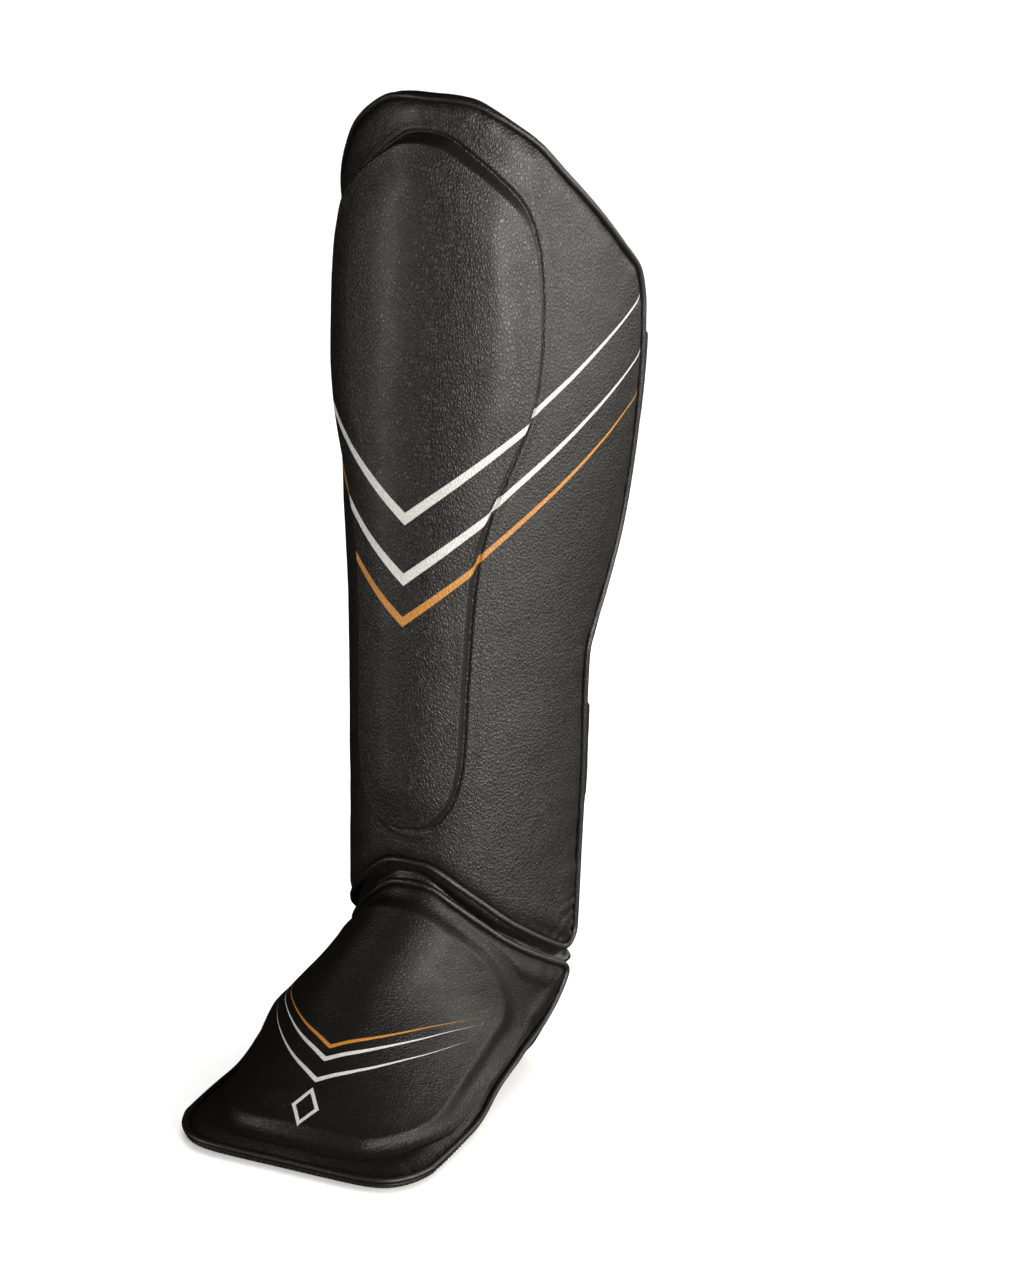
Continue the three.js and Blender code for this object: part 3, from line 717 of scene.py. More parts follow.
def wrinkles(points, scale, amount, octaves=3, seed=0.0):
    """Soft wrinkles in millimetres over a grid of points. scale is their size and amount their height."""
    flat = points.reshape(-1, points.shape[-1]) / scale
    if flat.shape[1] == 2:
        flat = np.c_[flat, np.zeros(len(flat))]
    values = [noise.fractal(Vector((x + seed, y, z)), 1.0, 2.0, octaves) for x, y, z in flat]
    return amount * np.array(values).reshape(points.shape[:-1])


def gathers(place, distance, pitch, reach, amount, seed=0.0):
    """Small gathers of the leather at its seam, a pitch apart, which die away over a reach."""
    values = [noise.noise(Vector((p / pitch, seed, 0.3 * p / pitch))) for p in place.ravel()]
    return amount * np.array(values).reshape(place.shape) * np.exp(-(distance / reach) ** 1.5)


def rolled(distance, radius, drop):
    """How far a face sinks at its stitched edge."""
    t = np.clip(distance / radius, 0, 1)
    return drop * (1 - np.sqrt(np.clip(1 - (1 - t) ** 2, 0, 1)))


def outline_out(outline):
    """The unit direction away from a closed flat outline that runs anticlockwise."""
    run = unit(np.roll(outline, -1, 0) - np.roll(outline, 1, 0))
    return np.stack([run[:, 1], -run[:, 0]], -1)


BAR_SKIRT = np.array([0.5, 1.0, 1.6, 2.3, 3.2, 4.4, 5.8, 7.2, 7.3])
BAR_FILLET = 1.3
BAR_RISER = 7.7
BAR_CROWN_REACH = 26.0
BAR_CREASE = {"depth": 1.7, "at": -0.8, "width": 1.3}
EDGE_DROP = 2.6
# How far a raised pad's skirt lies above the leather round it, turns outwards at its end and then tucks down.
SKIRT_LIFT = 0.02
SKIRT_TURN = 0.1
SKIRT_TUCK = 1.2
# How far below the leather round it a raised pad's back lies.
PAD_TUCK = 1.6


def bar_relief(inside):
    """Height of the bar's leather over the shell's, by the distance inside its crease: a hollow round its
    foot, a crease, a steep side and a soft crown."""
    hollow = BAR_FILLET * smooth((inside + BAR_SKIRT[-1]) / BAR_SKIRT[-1]) ** 1.4
    crease = BAR_CREASE["depth"] * np.exp(-((inside - BAR_CREASE["at"]) / BAR_CREASE["width"]) ** 2)
    riser = BAR_RISER * smooth((inside + 0.6) / 4.2) ** 0.8
    crown = (BAR_HEIGHT + SEAT - BAR_FILLET - BAR_RISER) * smooth(inside / BAR_CROWN_REACH)
    return hollow - crease + riser + crown


def skirt_rows(outline, out, distances, relief, face, normal):
    """Rows of a raised pad's leather outside its crease, with their places on the pattern. The last row tucks
    under the leather round it."""
    flats = [outline + out * apart for apart in (*distances, distances[-1] + SKIRT_TURN)]
    heights = [relief(-apart) + SKIRT_LIFT for apart in distances] + [-SKIRT_TUCK]
    return [face(flat) + normal(flat) * height for flat, height in zip(flats, heights)], flats


bar_grid = grid(110, 230, corner=(0.12, 0.02, 0.03), pull=0.75)
bar_uv = bar_flat(*bar_grid)
bar_border = border_index(*bar_grid[0].shape)
bar_outline = bar_uv.reshape(-1, 2)[bar_border]

shell_grid = grid(150, 200, corner=(0.08, 0.025, 0.02))
shell_uv = shell_flat(*shell_grid)
shell_border = border_index(*shell_grid[0].shape)
shell_outline = shell_uv.reshape(-1, 2)[shell_border]
shell_normal = flat_normal(shell_uv)
shell_base = wrap(shell_uv)
edge_distance, edge_place = distance_to(shell_uv, shell_outline)

# The leather puckers at the ankle corner: a puffed roll, a groove beside its seam and gathers across them.
ankle_corner = np.array(SHELL_PATTERN["side"][0]) * [WING_REACH, SHIN_LENGTH]
folded = np.stack([np.abs(shell_uv[..., 0]), shell_uv[..., 1]], -1)
from_corner = np.linalg.norm(folded - ankle_corner, axis=-1)
near_corner = np.exp(-(from_corner / 34.0) ** 2)
roll = 1.6 * np.exp(-((edge_distance - 12.0) / 6.0) ** 2)
groove = 0.8 * np.exp(-((edge_distance - 4.0) / 2.5) ** 2)
puckers = gathers(edge_place, edge_distance, pitch=4.0, reach=14.0, amount=1.6, seed=3.0)

lift = wrinkles(shell_base, scale=38.0, amount=0.35)
lift += wrinkles(shell_base * [1, 1, 0.5], scale=11.0, amount=0.10, seed=5.0)
lift += gathers(edge_place, edge_distance, pitch=7.0, reach=9.0, amount=0.55)
lift += near_corner * (roll - groove + puckers)
lift -= rolled(edge_distance, 8.0, EDGE_DROP)
# It lies smooth round the bar's skirt and sinks away below it.
under_bar = signed_distance(shell_uv, bar_outline) + BAR_SKIRT[-1]
lift *= 1 - smooth((under_bar + 8.0) / 7.0)
lift -= 1.8 * smooth((under_bar - 1.5) / 3.0)
front = shell_base + shell_normal * lift[..., None]
back = shell_base - shell_normal * shell_thickness(*shell_grid)[..., None]

seam_base = shell_base.reshape(-1, 3)[shell_border]
seam_normal = shell_normal.reshape(-1, 3)[shell_border]
seam_out = unit(np.cross(unit(np.roll(seam_base, -1, 0) - np.roll(seam_base, 1, 0)), seam_normal))
rim_wave = 1 + 0.25 * np.array([noise.noise(Vector((k * 0.05, 1.7, 0))) for k in range(len(seam_base))])
rim = []
for turn in np.linspace(0.1, 0.9, 9) * np.pi:
    depth = EDGE_DROP + (SHELL_RIM - EDGE_DROP) * (1 - np.cos(turn)) / 2
    bulge = (RIM_BULGE * math.sin(turn) ** 0.8 * rim_wave)[:, None]
    rim.append(seam_base + seam_out * bulge - seam_normal * depth)
shell = pad("shell", front, rim, back, shin_leather, "shell_leather", shell_uv)
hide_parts("shin_shell")

cord_line = seam_base + seam_out * 1.0 - seam_normal * (EDGE_DROP - 1.5)
shell_cord = tube("shell_cord", cord_line, PIPING_RADIUS, trim_leather)
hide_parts("shell_piping")
back_line = seam_base + seam_out * 0.9 - seam_normal * (SHELL_RIM + 0.2)
tube("shell_back_cord", back_line, 1.2, trim_leather, sides=8)


def stitches(name, line, normals, pitch=3.1, length=2.3, radius=0.42, closed=True):
    """Raised stitches along a line of points, each a short thread with buried ends."""
    line = np.asarray(line, float)
    if closed:
        line, normals = np.vstack([line, line[:1]]), np.vstack([normals, normals[:1]])
    run = np.concatenate([[0], np.cumsum(np.linalg.norm(np.diff(line, axis=0), axis=1))])
    count = int(run[-1] / pitch)
    rings, sides = np.array([-1, -0.72, -0.25, 0.25, 0.72, 1]), 6
    girth = np.array([0.25, 0.85, 1.0, 1.0, 0.85, 0.25])
    sink = np.array([-0.9, -0.25, 0.1, 0.1, -0.25, -0.9])
    points, faces = [], []
    for k in range(count):
        middle = (k + 0.5) * run[-1] / count
        centre, ahead = (np.array([np.interp(m, run, line[:, c]) for c in range(3)])
                         for m in (middle, middle + 0.5))
        normal = unit(np.array([np.interp(middle, run, normals[:, c]) for c in range(3)]))
        along = unit(ahead - centre)
        side = np.cross(normal, along)
        skew = random.uniform(-0.10, 0.16)
        along = unit(along + side * skew)
        first = len(points)
        for place, wide, rise in zip(rings, girth, sink):
            for turn in np.arange(sides) * 2 * np.pi / sides:
                spoke = side * math.cos(turn) + normal * (math.sin(turn) * 0.8)
                spoke = spoke * radius * wide + normal * radius * rise
                points.append(centre + along * (place * length / 2) + spoke)
        for r in range(len(rings) - 1):
            for t in range(sides):
                a, b = first + r * sides + t, first + r * sides + (t + 1) % sides
                faces.append((a, a + sides, b + sides, b))
        faces.append(tuple(first + t for t in range(sides)))
        faces.append(tuple(first + (len(rings) - 1) * sides + t for t in reversed(range(sides))))
    return build(name, np.array(points), faces, black_thread)


seam_depth = EDGE_DROP + (SHELL_RIM - EDGE_DROP) * 0.22
stitch_line = seam_base + seam_out * (RIM_BULGE * 0.8) - seam_normal * seam_depth
stitches("shell_stitches", stitch_line, seam_out, pitch=3.0, length=2.1, radius=0.26)

# Bar: its leather runs on over the shell's in a skirt that ends level with it.
bar_inside, _ = distance_to(bar_uv, bar_outline)
bar_lift = bar_relief(bar_inside)
bar_lift += wrinkles(wrap(bar_uv) * [1, 1, 0.45], scale=16.0, amount=0.16)
bar_lift += wrinkles(wrap(bar_uv), scale=60.0, amount=0.5, seed=9.0)
bar_front = wrap(bar_uv) + flat_normal(bar_uv) * bar_lift[..., None]
skirt, skirt_flat = skirt_rows(bar_outline, outline_out(bar_outline), BAR_SKIRT, bar_relief,
                               wrap, flat_normal)
bar_back = wrap(bar_uv) - flat_normal(bar_uv) * PAD_TUCK
bar = pad("shin_bar", bar_front, skirt, bar_back, shin_leather, "shell_leather", bar_uv, skirt_flat)
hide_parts("raised_shin_bar")

# Shell lining: cloth-faced foam that ends at the back cord.
lining_grid = (shell_grid[0] * 0.978, 0.5 + (shell_grid[1] - 0.5) * 0.986)
lining_normal = normal_of(shell_face, *lining_grid)
lining_depth = shell_thickness(*lining_grid) + SEAT
lining_depth = lining_depth + wrinkles(shell_face(*lining_grid), scale=30.0, amount=0.5, seed=2.0)
lining_outer = shell_face(*lining_grid) - lining_normal * lining_depth[..., None]
lining_edge, _ = distance_to(lining_outer, lining_outer.reshape(-1, 3)[shell_border])
puff = 0.5 + LINING_WALL * np.sqrt(np.clip(1 - (1 - np.clip(lining_edge / 4.0, 0, 1)) ** 2, 0, 1))
lining_inner = lining_outer - lining_normal * puff[..., None]
lining = pad("shell_lining_cloth", lining_outer, [], lining_inner, lining_fabric, "lining_fabric")
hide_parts("shell_lining")


# Instep. Its flat pattern is across and along in millimetres.
INSTEP_SIZE = np.array([65.0, 150.0])


def instep_at(flat):
    return instep_face(flat[..., 0] / INSTEP_SIZE[0], flat[..., 1] / INSTEP_SIZE[1])


def instep_normal_at(flat):
    return normal_of(instep_face, flat[..., 0] / INSTEP_SIZE[0], flat[..., 1] / INSTEP_SIZE[1])


TOE_DROP = 2.2
instep_grid = grid(130, 150, corner=(0.06, 0.02, 0.04), pull=0.7)
instep_uv = np.stack(instep_grid, -1) * INSTEP_SIZE
instep_base = instep_face(*instep_grid)
instep_normal = normal_of(instep_face, *instep_grid)
instep_border = border_index(*instep_grid[0].shape)
toe_base = instep_base.reshape(-1, 3)[instep_border]
toe_distance, toe_place = distance_to(instep_base, toe_base)

raised_across, raised_along = grid(90, 100, corner=(0.34, 0.22, 0.2))
taper = 1 - RAISED["taper"] * (2 * raised_along - 1) ** 4
raised_uv = np.stack([
    RAISED["across"] * raised_across * taper,
    RAISED["from"] + (RAISED["to"] - RAISED["from"]) * raised_along
    + RAISED["bow"] * raised_across ** 4 * (1 - 2 * raised_along),
], -1) * INSTEP_SIZE
raised_border = border_index(*raised_across.shape)
raised_outline = raised_uv.reshape(-1, 2)[raised_border]
RAISED_SKIRT = np.array([1.2, 2.4, 3.8, 5.4, 7.0, 7.1])


RAISED_STEP = 4.2
RAISED_CROWN_REACH = 22.0


def raised_relief(inside):
    """Height of the raised middle over the pad, by the distance inside its outline: a step and a crown."""
    step = RAISED_STEP * smooth((inside + 5.0) / 8.0) ** 1.4
    return step + (INSTEP_RISE + 0.8 - RAISED_STEP) * smooth(inside / RAISED_CROWN_REACH)


lift = wrinkles(instep_base, scale=26.0, amount=0.3, seed=4.0)
lift += wrinkles(instep_base * [0.5, 1, 1], scale=9.0, amount=0.12, seed=6.0)
lift += gathers(toe_place, toe_distance, pitch=6.0, reach=8.0, amount=0.4, seed=8.0)
lift += 1.2 * np.exp(-((toe_distance - 9.0) / 4.5) ** 2)
lift -= rolled(toe_distance, 7.0, TOE_DROP)
# It lies smooth round the raised middle's skirt and sinks away below it.
under_raised = signed_distance(instep_uv, raised_outline) + RAISED_SKIRT[-1]
lift *= 1 - smooth((under_raised + 3.0) / 3.0)
lift -= 0.7 * smooth((under_raised - 1.0) / 2.0)
instep_front = instep_base + instep_normal * lift[..., None]
instep_back = instep_inner(*instep_grid)
toe_normal = instep_normal.reshape(-1, 3)[instep_border]
toe_out = unit(np.cross(unit(np.roll(toe_base, -1, 0) - np.roll(toe_base, 1, 0)), toe_normal))
toe_inner = instep_back.reshape(-1, 3)[instep_border]
toe_start = toe_base - toe_normal * TOE_DROP
toe_foot = toe_base + sole_step(*(k.ravel()[instep_border] for k in instep_grid))
rim = []
for t in np.linspace(0.05, 0.95, 12):
    bulge = 2.4 * math.sin(math.pi * t) ** 0.7 * (1 - t)
    rim.append((1 - t) ** 2 * toe_start + 2 * t * (1 - t) * toe_foot + t ** 2 * toe_inner + toe_out * bulge)
# The print is on the raised middle only, so the pad's own pattern lies beside it.
unprinted = np.dstack([instep_uv[..., 0] + 500, instep_uv[..., 1]])
instep = pad("instep", instep_front, rim, instep_back, instep_leather, "shell_leather", unprinted)
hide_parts("instep_pad")
toe_cord_line = toe_base + toe_out * 0.9 - toe_normal * (TOE_DROP - 1.3)
toe_cord = tube("instep_cord", toe_cord_line, PIPING_RADIUS, trim_leather)
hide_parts("instep_piping")
stitches("instep_stitches", rim[2] + toe_out * 0.1, toe_out, pitch=3.0, length=2.2, radius=0.4)

raised_inside, _ = distance_to(raised_uv, raised_outline)
raised_lift = raised_relief(raised_inside)
raised_lift += wrinkles(instep_at(raised_uv) * [0.45, 1, 1], scale=11.0, amount=0.18, seed=7.0)
raised_lift += wrinkles(instep_at(raised_uv), scale=40.0, amount=0.5, seed=1.0)
raised_front = instep_at(raised_uv) + instep_normal_at(raised_uv) * raised_lift[..., None]
skirt, skirt_flat = skirt_rows(raised_outline, outline_out(raised_outline), RAISED_SKIRT, raised_relief,
                               instep_at, instep_normal_at)
raised_back = instep_at(raised_uv) - instep_normal_at(raised_uv) * PAD_TUCK
raised = pad("instep_raised", raised_front, skirt, raised_back, instep_leather, "shell_leather",
             raised_uv, skirt_flat)
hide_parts("raised_instep_pad")

sole_grid = (instep_grid[0] * 0.78, 0.5 + (instep_grid[1] - 0.5) * 0.7)
sole_outer = instep_inner(*sole_grid)
sole_normal = normal_of(instep_inner, *sole_grid)
sole_outer = sole_outer - sole_normal * SEAT
sole_inner = sole_outer - sole_normal * LINING_WALL
sole = pad("instep_lining_cloth", sole_outer, [], sole_inner, lining_fabric, "lining_fabric")
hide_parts("instep_lining")


# Gusset, tucked behind the shell's arch and the instep pad's top edge.

def outward_at(surface, across, along):
    """The direction out of a surface's edge, along the surface."""
    rim_point = surface(across, along)
    normal = normal_of(surface, across, along)
    out = rim_point - surface(across * 0.96, 0.5 + (along - 0.5) * 0.96)
    return unit(out - normal * (out * normal).sum(-1, keepdims=True))


def gusset_sheet(share, along):
    """The middle of the gusset, from the instep pad's top edge up to the shell's arch, with soft folds."""
    across = 0.995 * share
    zero, one = np.zeros_like(across), np.ones_like(across)
    low = instep_face(across, one) + through_instep(across, one, 0.55)
    low = low - outward_at(instep_face, across, one) * 2.0
    high = shell_face(across, zero) - normal_of(shell_face, across, zero) * (SHELL_RIM * 0.62)
    high = high - outward_at(shell_face, across, zero) * 2.0
    point = low + (high - low) * along[..., None]
    fold = 1.5 * np.sin(along * math.pi * 3.2 + 0.9 * np.sin(share * 4.0)) * np.sin(along * math.pi)
    return point + normal_of(shell_face, across, zero) * fold[..., None]


GUSSET_REACH = 4.5
gusset_share, gusset_along = np.meshgrid(np.linspace(-1, 1, 121), np.linspace(0, 1, 25))
sheet = gusset_sheet(gusset_share, gusset_along)
# Its ends reach out to the pads' corners.
reach = GUSSET_REACH * np.sign(gusset_share) * smooth((np.abs(gusset_share) - 0.85) / 0.15)
sheet = sheet + unit(np.gradient(sheet, axis=1)) * reach[..., None]
sheet_normal = -unit(np.cross(np.gradient(sheet, axis=0), np.gradient(sheet, axis=1)))
sheet = sheet + sheet_normal * wrinkles(sheet * [1, 1, 0.6], scale=7.0, amount=0.5, seed=12.0)[..., None]
half_wall = sheet_normal * GUSSET_WALL / 2
gusset = pad("gusset", sheet + half_wall, [], sheet - half_wall, trim_leather, "trim_leather")
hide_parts("ankle_gusset")


# Straps, flaps and tabs.
wing_table = np.linspace(0, 1, 800)
wing_heights = shell_face(np.ones(800), wing_table)[:, 2]


def wing_back(side, z):
    """The middle of a wing's back wall at a height, and the way on round the calf from there."""
    up = np.interp(z, wing_heights, wing_table)
    across = np.full_like(up, side)
    start = shell_face(across, up) - normal_of(shell_face, across, up) * (SHELL_RIM / 2)
    start = start + outward_at(shell_face, across, up) * RIM_BULGE
    flat = shell_flat(across, up)
    return start, unit(wrap(flat + np.array([side, 0.0])) - wrap(flat))


def strap_way(z, share):
    """A strap's middle at a height, by its share of the way between the wings, and the way out there."""
    z, share = np.broadcast_arrays(np.asarray(z, float), np.asarray(share, float))
    posts = []
    for side in (-1.0, 1.0):
        start, onward = wing_back(side, z)
        root = start + onward * (TAB_REACH + STRAP_WALL / 2)
        root[..., 2] = z
        pull = root + onward * STRAP_PULL[0]
        pull[..., 0] -= side * STRAP_PULL[1]
        posts.append((root, pull))
    (a, b), (d, c) = posts
    t = share[..., None]
    point = (1 - t) ** 3 * a + 3 * t * (1 - t) ** 2 * b + 3 * t ** 2 * (1 - t) * c + t ** 3 * d
    slope = 3 * (1 - t) ** 2 * (b - a) + 6 * t * (1 - t) * (c - b) + 3 * t ** 2 * (d - c)
    out = unit(np.stack([-slope[..., 1], slope[..., 0], np.zeros_like(share)], -1))
    return point, out


OVER_FLAP = FLAP_WALL / 2 + SEAT + STRAP_WALL / 2


def strap_lift(share):
    """How far a strap stands out, to lie over the flap."""
    return OVER_FLAP * smooth((share - FLAP_START + 0.16) / 0.14)


def strap_profile(edge):
    """The strap's face by the distance from its edge: a bound edge, a groove, a ridge and a panel."""
    bead = 1.1 * np.sqrt(np.clip(1 - ((edge - 2.0) / 2.1) ** 2, 0, 1))
    ridge = 0.55 * np.sqrt(np.clip(1 - ((edge - 6.6) / 1.1) ** 2, 0, 1))
    return np.maximum(bead, np.maximum(ridge, 0.9 * smooth((edge - 7.2) / 6.0)))


def strap(name, node, z, start, end, lift, wall, free, profile, seed):
    """A strap or flap along the way between the wings, with its free end a half round. lift is how far it
    stands out by the share of the way, and profile says whether its face has the strap's bound edge."""
    way = strap_way(np.full(200, z), np.linspace(start, end, 200))[0]
    length = np.linalg.norm(np.diff(way, axis=0), axis=1).sum()
    half = STRAP_WIDTH / 2
    along, across = np.meshgrid(clustered(140, 0.55), 2 * clustered(66, 0.45) - 1, indexing="ij")
    run = along * length
    from_end = {"end": length - run, "start": run}[free]
    room = np.clip(half - from_end, 0, half)
    wide = np.maximum(np.sqrt(half ** 2 - room ** 2), 0.02)
    flat = np.stack([run, across * wide], -1)
    border = border_index(*along.shape)
    outline = flat.reshape(-1, 2)[border]
    edge, _ = distance_to(flat, outline)
    from_root = length - from_end
    edge = np.where(from_root < edge + 1.0, half - np.abs(flat[..., 1]), edge)
    share = start + (end - start) * along
    point, out = strap_way(z + flat[..., 1], share)
    point = point + out * lift(share)[..., None]
    rise = (strap_profile(edge) if profile else 0.4 * smooth(edge / 3.0)) - 0.5
    rise = rise + wrinkles(flat * [1.0, 0.6], scale=9.0, amount=0.16, seed=seed) * smooth((edge - 5.0) / 5.0)
    thin = wall / 2 * (1 - 0.75 * np.exp(-(edge / 0.8) ** 2))
    face = point + out * (thin + rise * smooth(edge / 0.6))[..., None]
    under_face = point - out * thin[..., None]
    # The grid runs along the strap first, so its faces point out of the calf with across reversed.
    face, under_face = face[:, ::-1], under_face[:, ::-1]
    made = pad(name, face, [], under_face, strap_leather, "trim_leather")
    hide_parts(node)
    inset = 4.9 if profile else 3.5
    t = np.linspace(0, length, 400)
    fold = np.clip(half - {"end": length - t, "start": t}[free], 0, half)
    width = np.sqrt(np.maximum((half - inset) ** 2 - fold ** 2, 0))
    keep = fold < half - inset
    above, below = (np.stack([t, side * width], -1)[keep] for side in (1, -1))
    rows = np.concatenate([above, below[::-1]] if free == "end" else [above[::-1], below])
    where = start + (end - start) * rows[:, 0] / length
    point, out = strap_way(z + rows[:, 1], where)
    line = point + out * (lift(where) + wall / 2 - 0.35)[:, None]
    stitches(f"{name}_stitches_1", line, out, closed=False)


TAB_CORNER = 12.0
strap_heights = {"upper": ANKLE_HEIGHT + 0.6 * SHIN_LENGTH, "lower": ANKLE_HEIGHT + 0.1 * SHIN_LENGTH}
tab_spans = {"upper": (0.25, 0.68), "lower": (0.01, 0.19)}
for name, z in strap_heights.items():
    strap(f"{name}_flap_leather", f"{name}_flap", z, FLAP_START, 1.0, np.zeros_like, FLAP_WALL,
          free="start", profile=False, seed=20.0)
    strap(f"{name}_strap_leather", f"{name}_strap", z, 0.0, STRAP_END, strap_lift, STRAP_WALL,
          free="end", profile=True, seed=30.0)
    low, high = (ANKLE_HEIGHT + share * SHIN_LENGTH for share in tab_spans[name])
    for side, hand in ((-1.0, "left"), (1.0, "right")):
        across, up = np.meshgrid(np.linspace(-1, 1, 13), np.linspace(0, 1, 91))
        start, onward = wing_back(side, low + (high - low) * up)
        reach = (1 + side * across) / 2
        corner = np.minimum(up, 1 - up) * (high - low)
        short = np.sqrt(np.clip(1 - (1 - np.clip(corner / TAB_CORNER, 0, 1)) ** 2, 0, 1))
        sheet = start + onward * ((0.1 + (TAB_REACH + 1.4) * reach * (0.25 + 0.75 * short)))[..., None]
        normal = unit(np.cross(np.gradient(sheet, axis=1), np.gradient(sheet, axis=0)))
        bead = normal * (0.8 + 0.7 * np.exp(-((reach - 0.8) / 0.2) ** 2))[..., None]
        tab = pad(f"{name}_{hand}_tab_leather", sheet + bead, [], sheet - bead, strap_leather, "trim_leather")
        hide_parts(f"{name}_{hand}_tab")


# Badge: a gel plate with a raised border, an orange line and plain ridges.
strap_line = strap_way(np.full(200, strap_heights["upper"]), np.linspace(0, 1, 200))[0]
way_length = np.linalg.norm(np.diff(strap_line, axis=0), axis=1).sum()
BADGE = (60.0, 34.0)
BADGE_AT = 0.42
badge_along, badge_across = np.meshgrid(clustered(110, 0.3), 2 * clustered(70, 0.3) - 1, indexing="ij")
badge_across, badge_along = round_corners(badge_across, badge_along, 0.3, 0.15, 0.15)
badge_flat = np.stack([(2 * badge_along - 1) * BADGE[0] / 2, badge_across * BADGE[1] / 2], -1)


def badge_place(flat, rise):
    """A point of the badge by its place along and across the strap and its height over it."""
    share = BADGE_AT + flat[..., 0] / way_length
    point, out = strap_way(strap_heights["upper"] + flat[..., 1], share)
    return point + out * (strap_lift(share) + STRAP_WALL / 2 + SEAT + rise)[..., None]


def rounded_box(flat, half, radius):
    """Signed distance inside a box with round corners."""
    q = np.abs(flat) - (np.array(half) - radius)
    outside = np.linalg.norm(np.maximum(q, 0), axis=-1) + np.minimum(q.max(-1), 0)
    return radius - outside


inside = rounded_box(badge_flat, (BADGE[0] / 2, BADGE[1] / 2), 4.0)
x, y = badge_flat[..., 0], np.abs(badge_flat[..., 1])
border = 1.1 * np.sqrt(np.clip(1 - ((inside - 1.8) / 1.7) ** 2, 0, 1))
middle = 1.9 * np.sqrt(np.clip(1 - (1 - np.clip((inside - 4.6) / 5.0, 0, 1)) ** 2, 0, 1))
rise = 0.5 + np.where(inside > 3.5, middle, border)
for apex in (-16.0, -6.0, 4.0):
    off = np.abs(x - apex - 0.9 * y)
    ridge = 0.9 * np.sqrt(np.clip(1 - (off / 2.0) ** 2, 0, 1)) * smooth((inside - 7.0) / 2.0)
    rise = rise + ridge
badge_front = badge_place(badge_flat, rise)[:, ::-1]
badge_under = badge_place(badge_flat, np.full_like(rise, -0.3))[:, ::-1]
badge = pad("badge_gel_plate", badge_front, [], badge_under, badge_gel, "badge_gel")
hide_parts("strap_badge")
turn = np.linspace(0, 2 * np.pi, 240, endpoint=False)
half = np.array([BADGE[0] / 2 - 4.1, BADGE[1] / 2 - 4.1])
power = 2 / 7.0
ring = np.stack([half[0] * np.sign(np.cos(turn)) * np.abs(np.cos(turn)) ** power,
                 half[1] * np.sign(np.sin(turn)) * np.abs(np.sin(turn)) ** power], -1)
tube("badge_outline", badge_place(ring, np.full(len(ring), 0.55)), 0.55, orange_gel, sides=8)


# Elastic band under the foot, with ribs along it.
ELASTIC = (28.0, 2.0)
low, high = (1000 * np.array(c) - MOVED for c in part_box("underfoot_elastic"))
span, rib = np.meshgrid(np.linspace(-1, 1, 81), np.linspace(-1, 1, 169))
half_span = (high[0] - low[0]) / 2 + 4.0
middle = (low + high) / 2
wave = 0.28 * np.abs(np.sin(rib * math.pi * 9.5)) * (1 - rib ** 8)
edge = ELASTIC[1] / 2 * (1 - 0.6 * rib ** 12)
sag = 0.6 * (1 - span ** 2)
across = middle[1] + rib * (ELASTIC[0] / 2 - 0.3 * (1 - span ** 2))
band = np.stack([middle[0] + span * half_span, across, middle[2] - sag], -1)
half_wall = np.array([0, 0, 1.0]) * (edge - 0.28 + wave)[..., None]
elastic = pad("elastic_band", band + half_wall, [], band - half_wall, elastic_webbing, "elastic_webbing")
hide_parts("underfoot_elastic")


# Stage, light and camera.

def backdrop():
    """A pale floor that turns up into a wall far behind."""
    size, far, steps = 6.0, 2.6, 24
    profile = [(-size, 0.0), (far - 1.0, 0.0)]
    profile += [(far - 1.0 + math.sin(k * math.pi / 2 / steps), 1.0 - math.cos(k * math.pi / 2 / steps))
                for k in range(1, steps + 1)]
    profile.append((far, 4.0))
    points = [(x, y, z) for y, z in profile for x in (-size, size)]
    mesh = bpy.data.meshes.new("floor")
    mesh.from_pydata(points, [], [(2 * k, 2 * k + 1, 2 * k + 3, 2 * k + 2) for k in range(len(profile) - 1)])
    mesh.polygons.foreach_set("use_smooth", [True] * len(mesh.polygons))
    shader = Shader("floor")
    tint = shader.ramp(shader.noise(shader.place, 3.0, 2.0), 0.3, 0.7)
    paper = shader.mix(tint, (0.93, 0.93, 0.93, 1), (0.95, 0.95, 0.95, 1))
    shader.put(shader.principled.inputs["Base Color"], paper)
    shader.principled.inputs["Roughness"].default_value = 0.9
    shader.principled.inputs["Emission Color"].default_value = (1, 1, 1, 1)
    shader.principled.inputs["Emission Strength"].default_value = 0.2
    mesh.materials.append(shader.material)
    floor = bpy.data.objects.new("floor", mesh)
    floor.visible_glossy = False
    bpy.context.scene.collection.objects.link(floor)
    floor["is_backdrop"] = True


def direction(azimuth, elevation):
    """The unit direction from the guard at an azimuth and elevation in degrees."""
    a, e = math.radians(azimuth), math.radians(elevation)
    return Vector((math.sin(a) * math.cos(e), -math.cos(a) * math.cos(e), math.sin(e)))


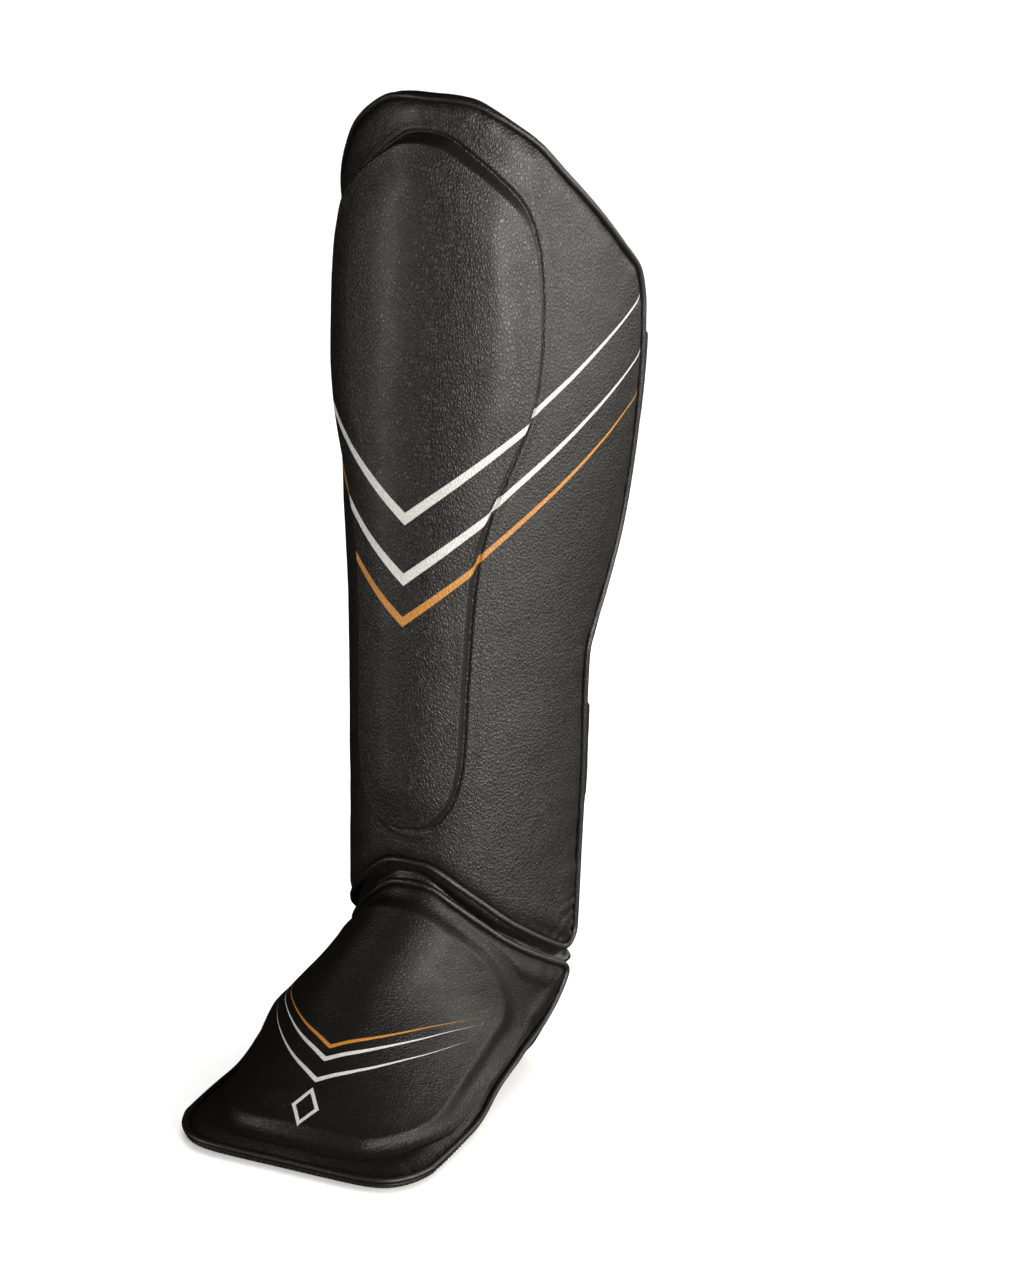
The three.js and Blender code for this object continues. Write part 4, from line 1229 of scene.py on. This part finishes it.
def softbox(name, azimuth, elevation, distance, size, power, tint=(1.0, 0.965, 0.89), aim=(0, 0, 0.25)):
    """A soft light that faces the guard."""
    away = direction(azimuth, elevation)
    light = bpy.data.lights.new(name, "AREA")
    light.shape, light.size, light.size_y = "RECTANGLE", size[0], size[1]
    light.energy, light.color = power, tint
    obj = bpy.data.objects.new(name, light)
    obj.location = Vector(aim) + away * distance
    obj.rotation_mode = "QUATERNION"
    obj.rotation_quaternion = away.to_track_quat("Z", "Y")
    bpy.context.scene.collection.objects.link(obj)
    return obj


backdrop()
# The low lights shine on the upright shin and leave the instep dark.
softbox("ridge_light", -45.0, 2.0, 1.7, (0.18, 0.6), 9.5)
softbox("key_light", 52.0, 3.0, 1.7, (0.36, 0.62), 28)
softbox("side_light", 95.0, 5.0, 1.7, (1.5, 0.75), 31)
softbox("back_light", 150.0, 12.0, 1.7, (0.9, 0.7), 9).visible_camera = False
# The top light and the sky brighten the floor and aren't mirrored in the leather.
softbox("top_light", 175.0, 78.0, 2.4, (2.8, 2.8), 56, tint=(1, 1, 1)).visible_glossy = False
world = bpy.data.worlds.new("world")
bpy.context.scene.world = world
world.use_nodes = True
world.node_tree.nodes["Background"].inputs["Color"].default_value = (1, 1, 1, 1)
world.node_tree.nodes["Background"].inputs["Strength"].default_value = 0.3
world.cycles_visibility.glossy = False

camera = bpy.data.objects.new("camera", bpy.data.cameras.new("camera"))
bpy.context.scene.collection.objects.link(camera)
away = direction(24.5, 20.5)
camera_aim = Vector((0.050, (12.5 + MOVED[1]) / 1000, 0.244))
camera_distance = 1.8
camera_roll = Matrix.Rotation(math.radians(0.5), 3, "Z").to_quaternion()
camera.location = camera_aim + away * camera_distance
camera.rotation_mode = "QUATERNION"
camera.rotation_quaternion = away.to_track_quat("Z", "Y") @ camera_roll
camera.data.lens = 106
camera.data.clip_start, camera.data.clip_end = 0.05, 30
bpy.context.scene.camera = camera
bpy.context.scene.view_settings.view_transform = "Standard"

low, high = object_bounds()
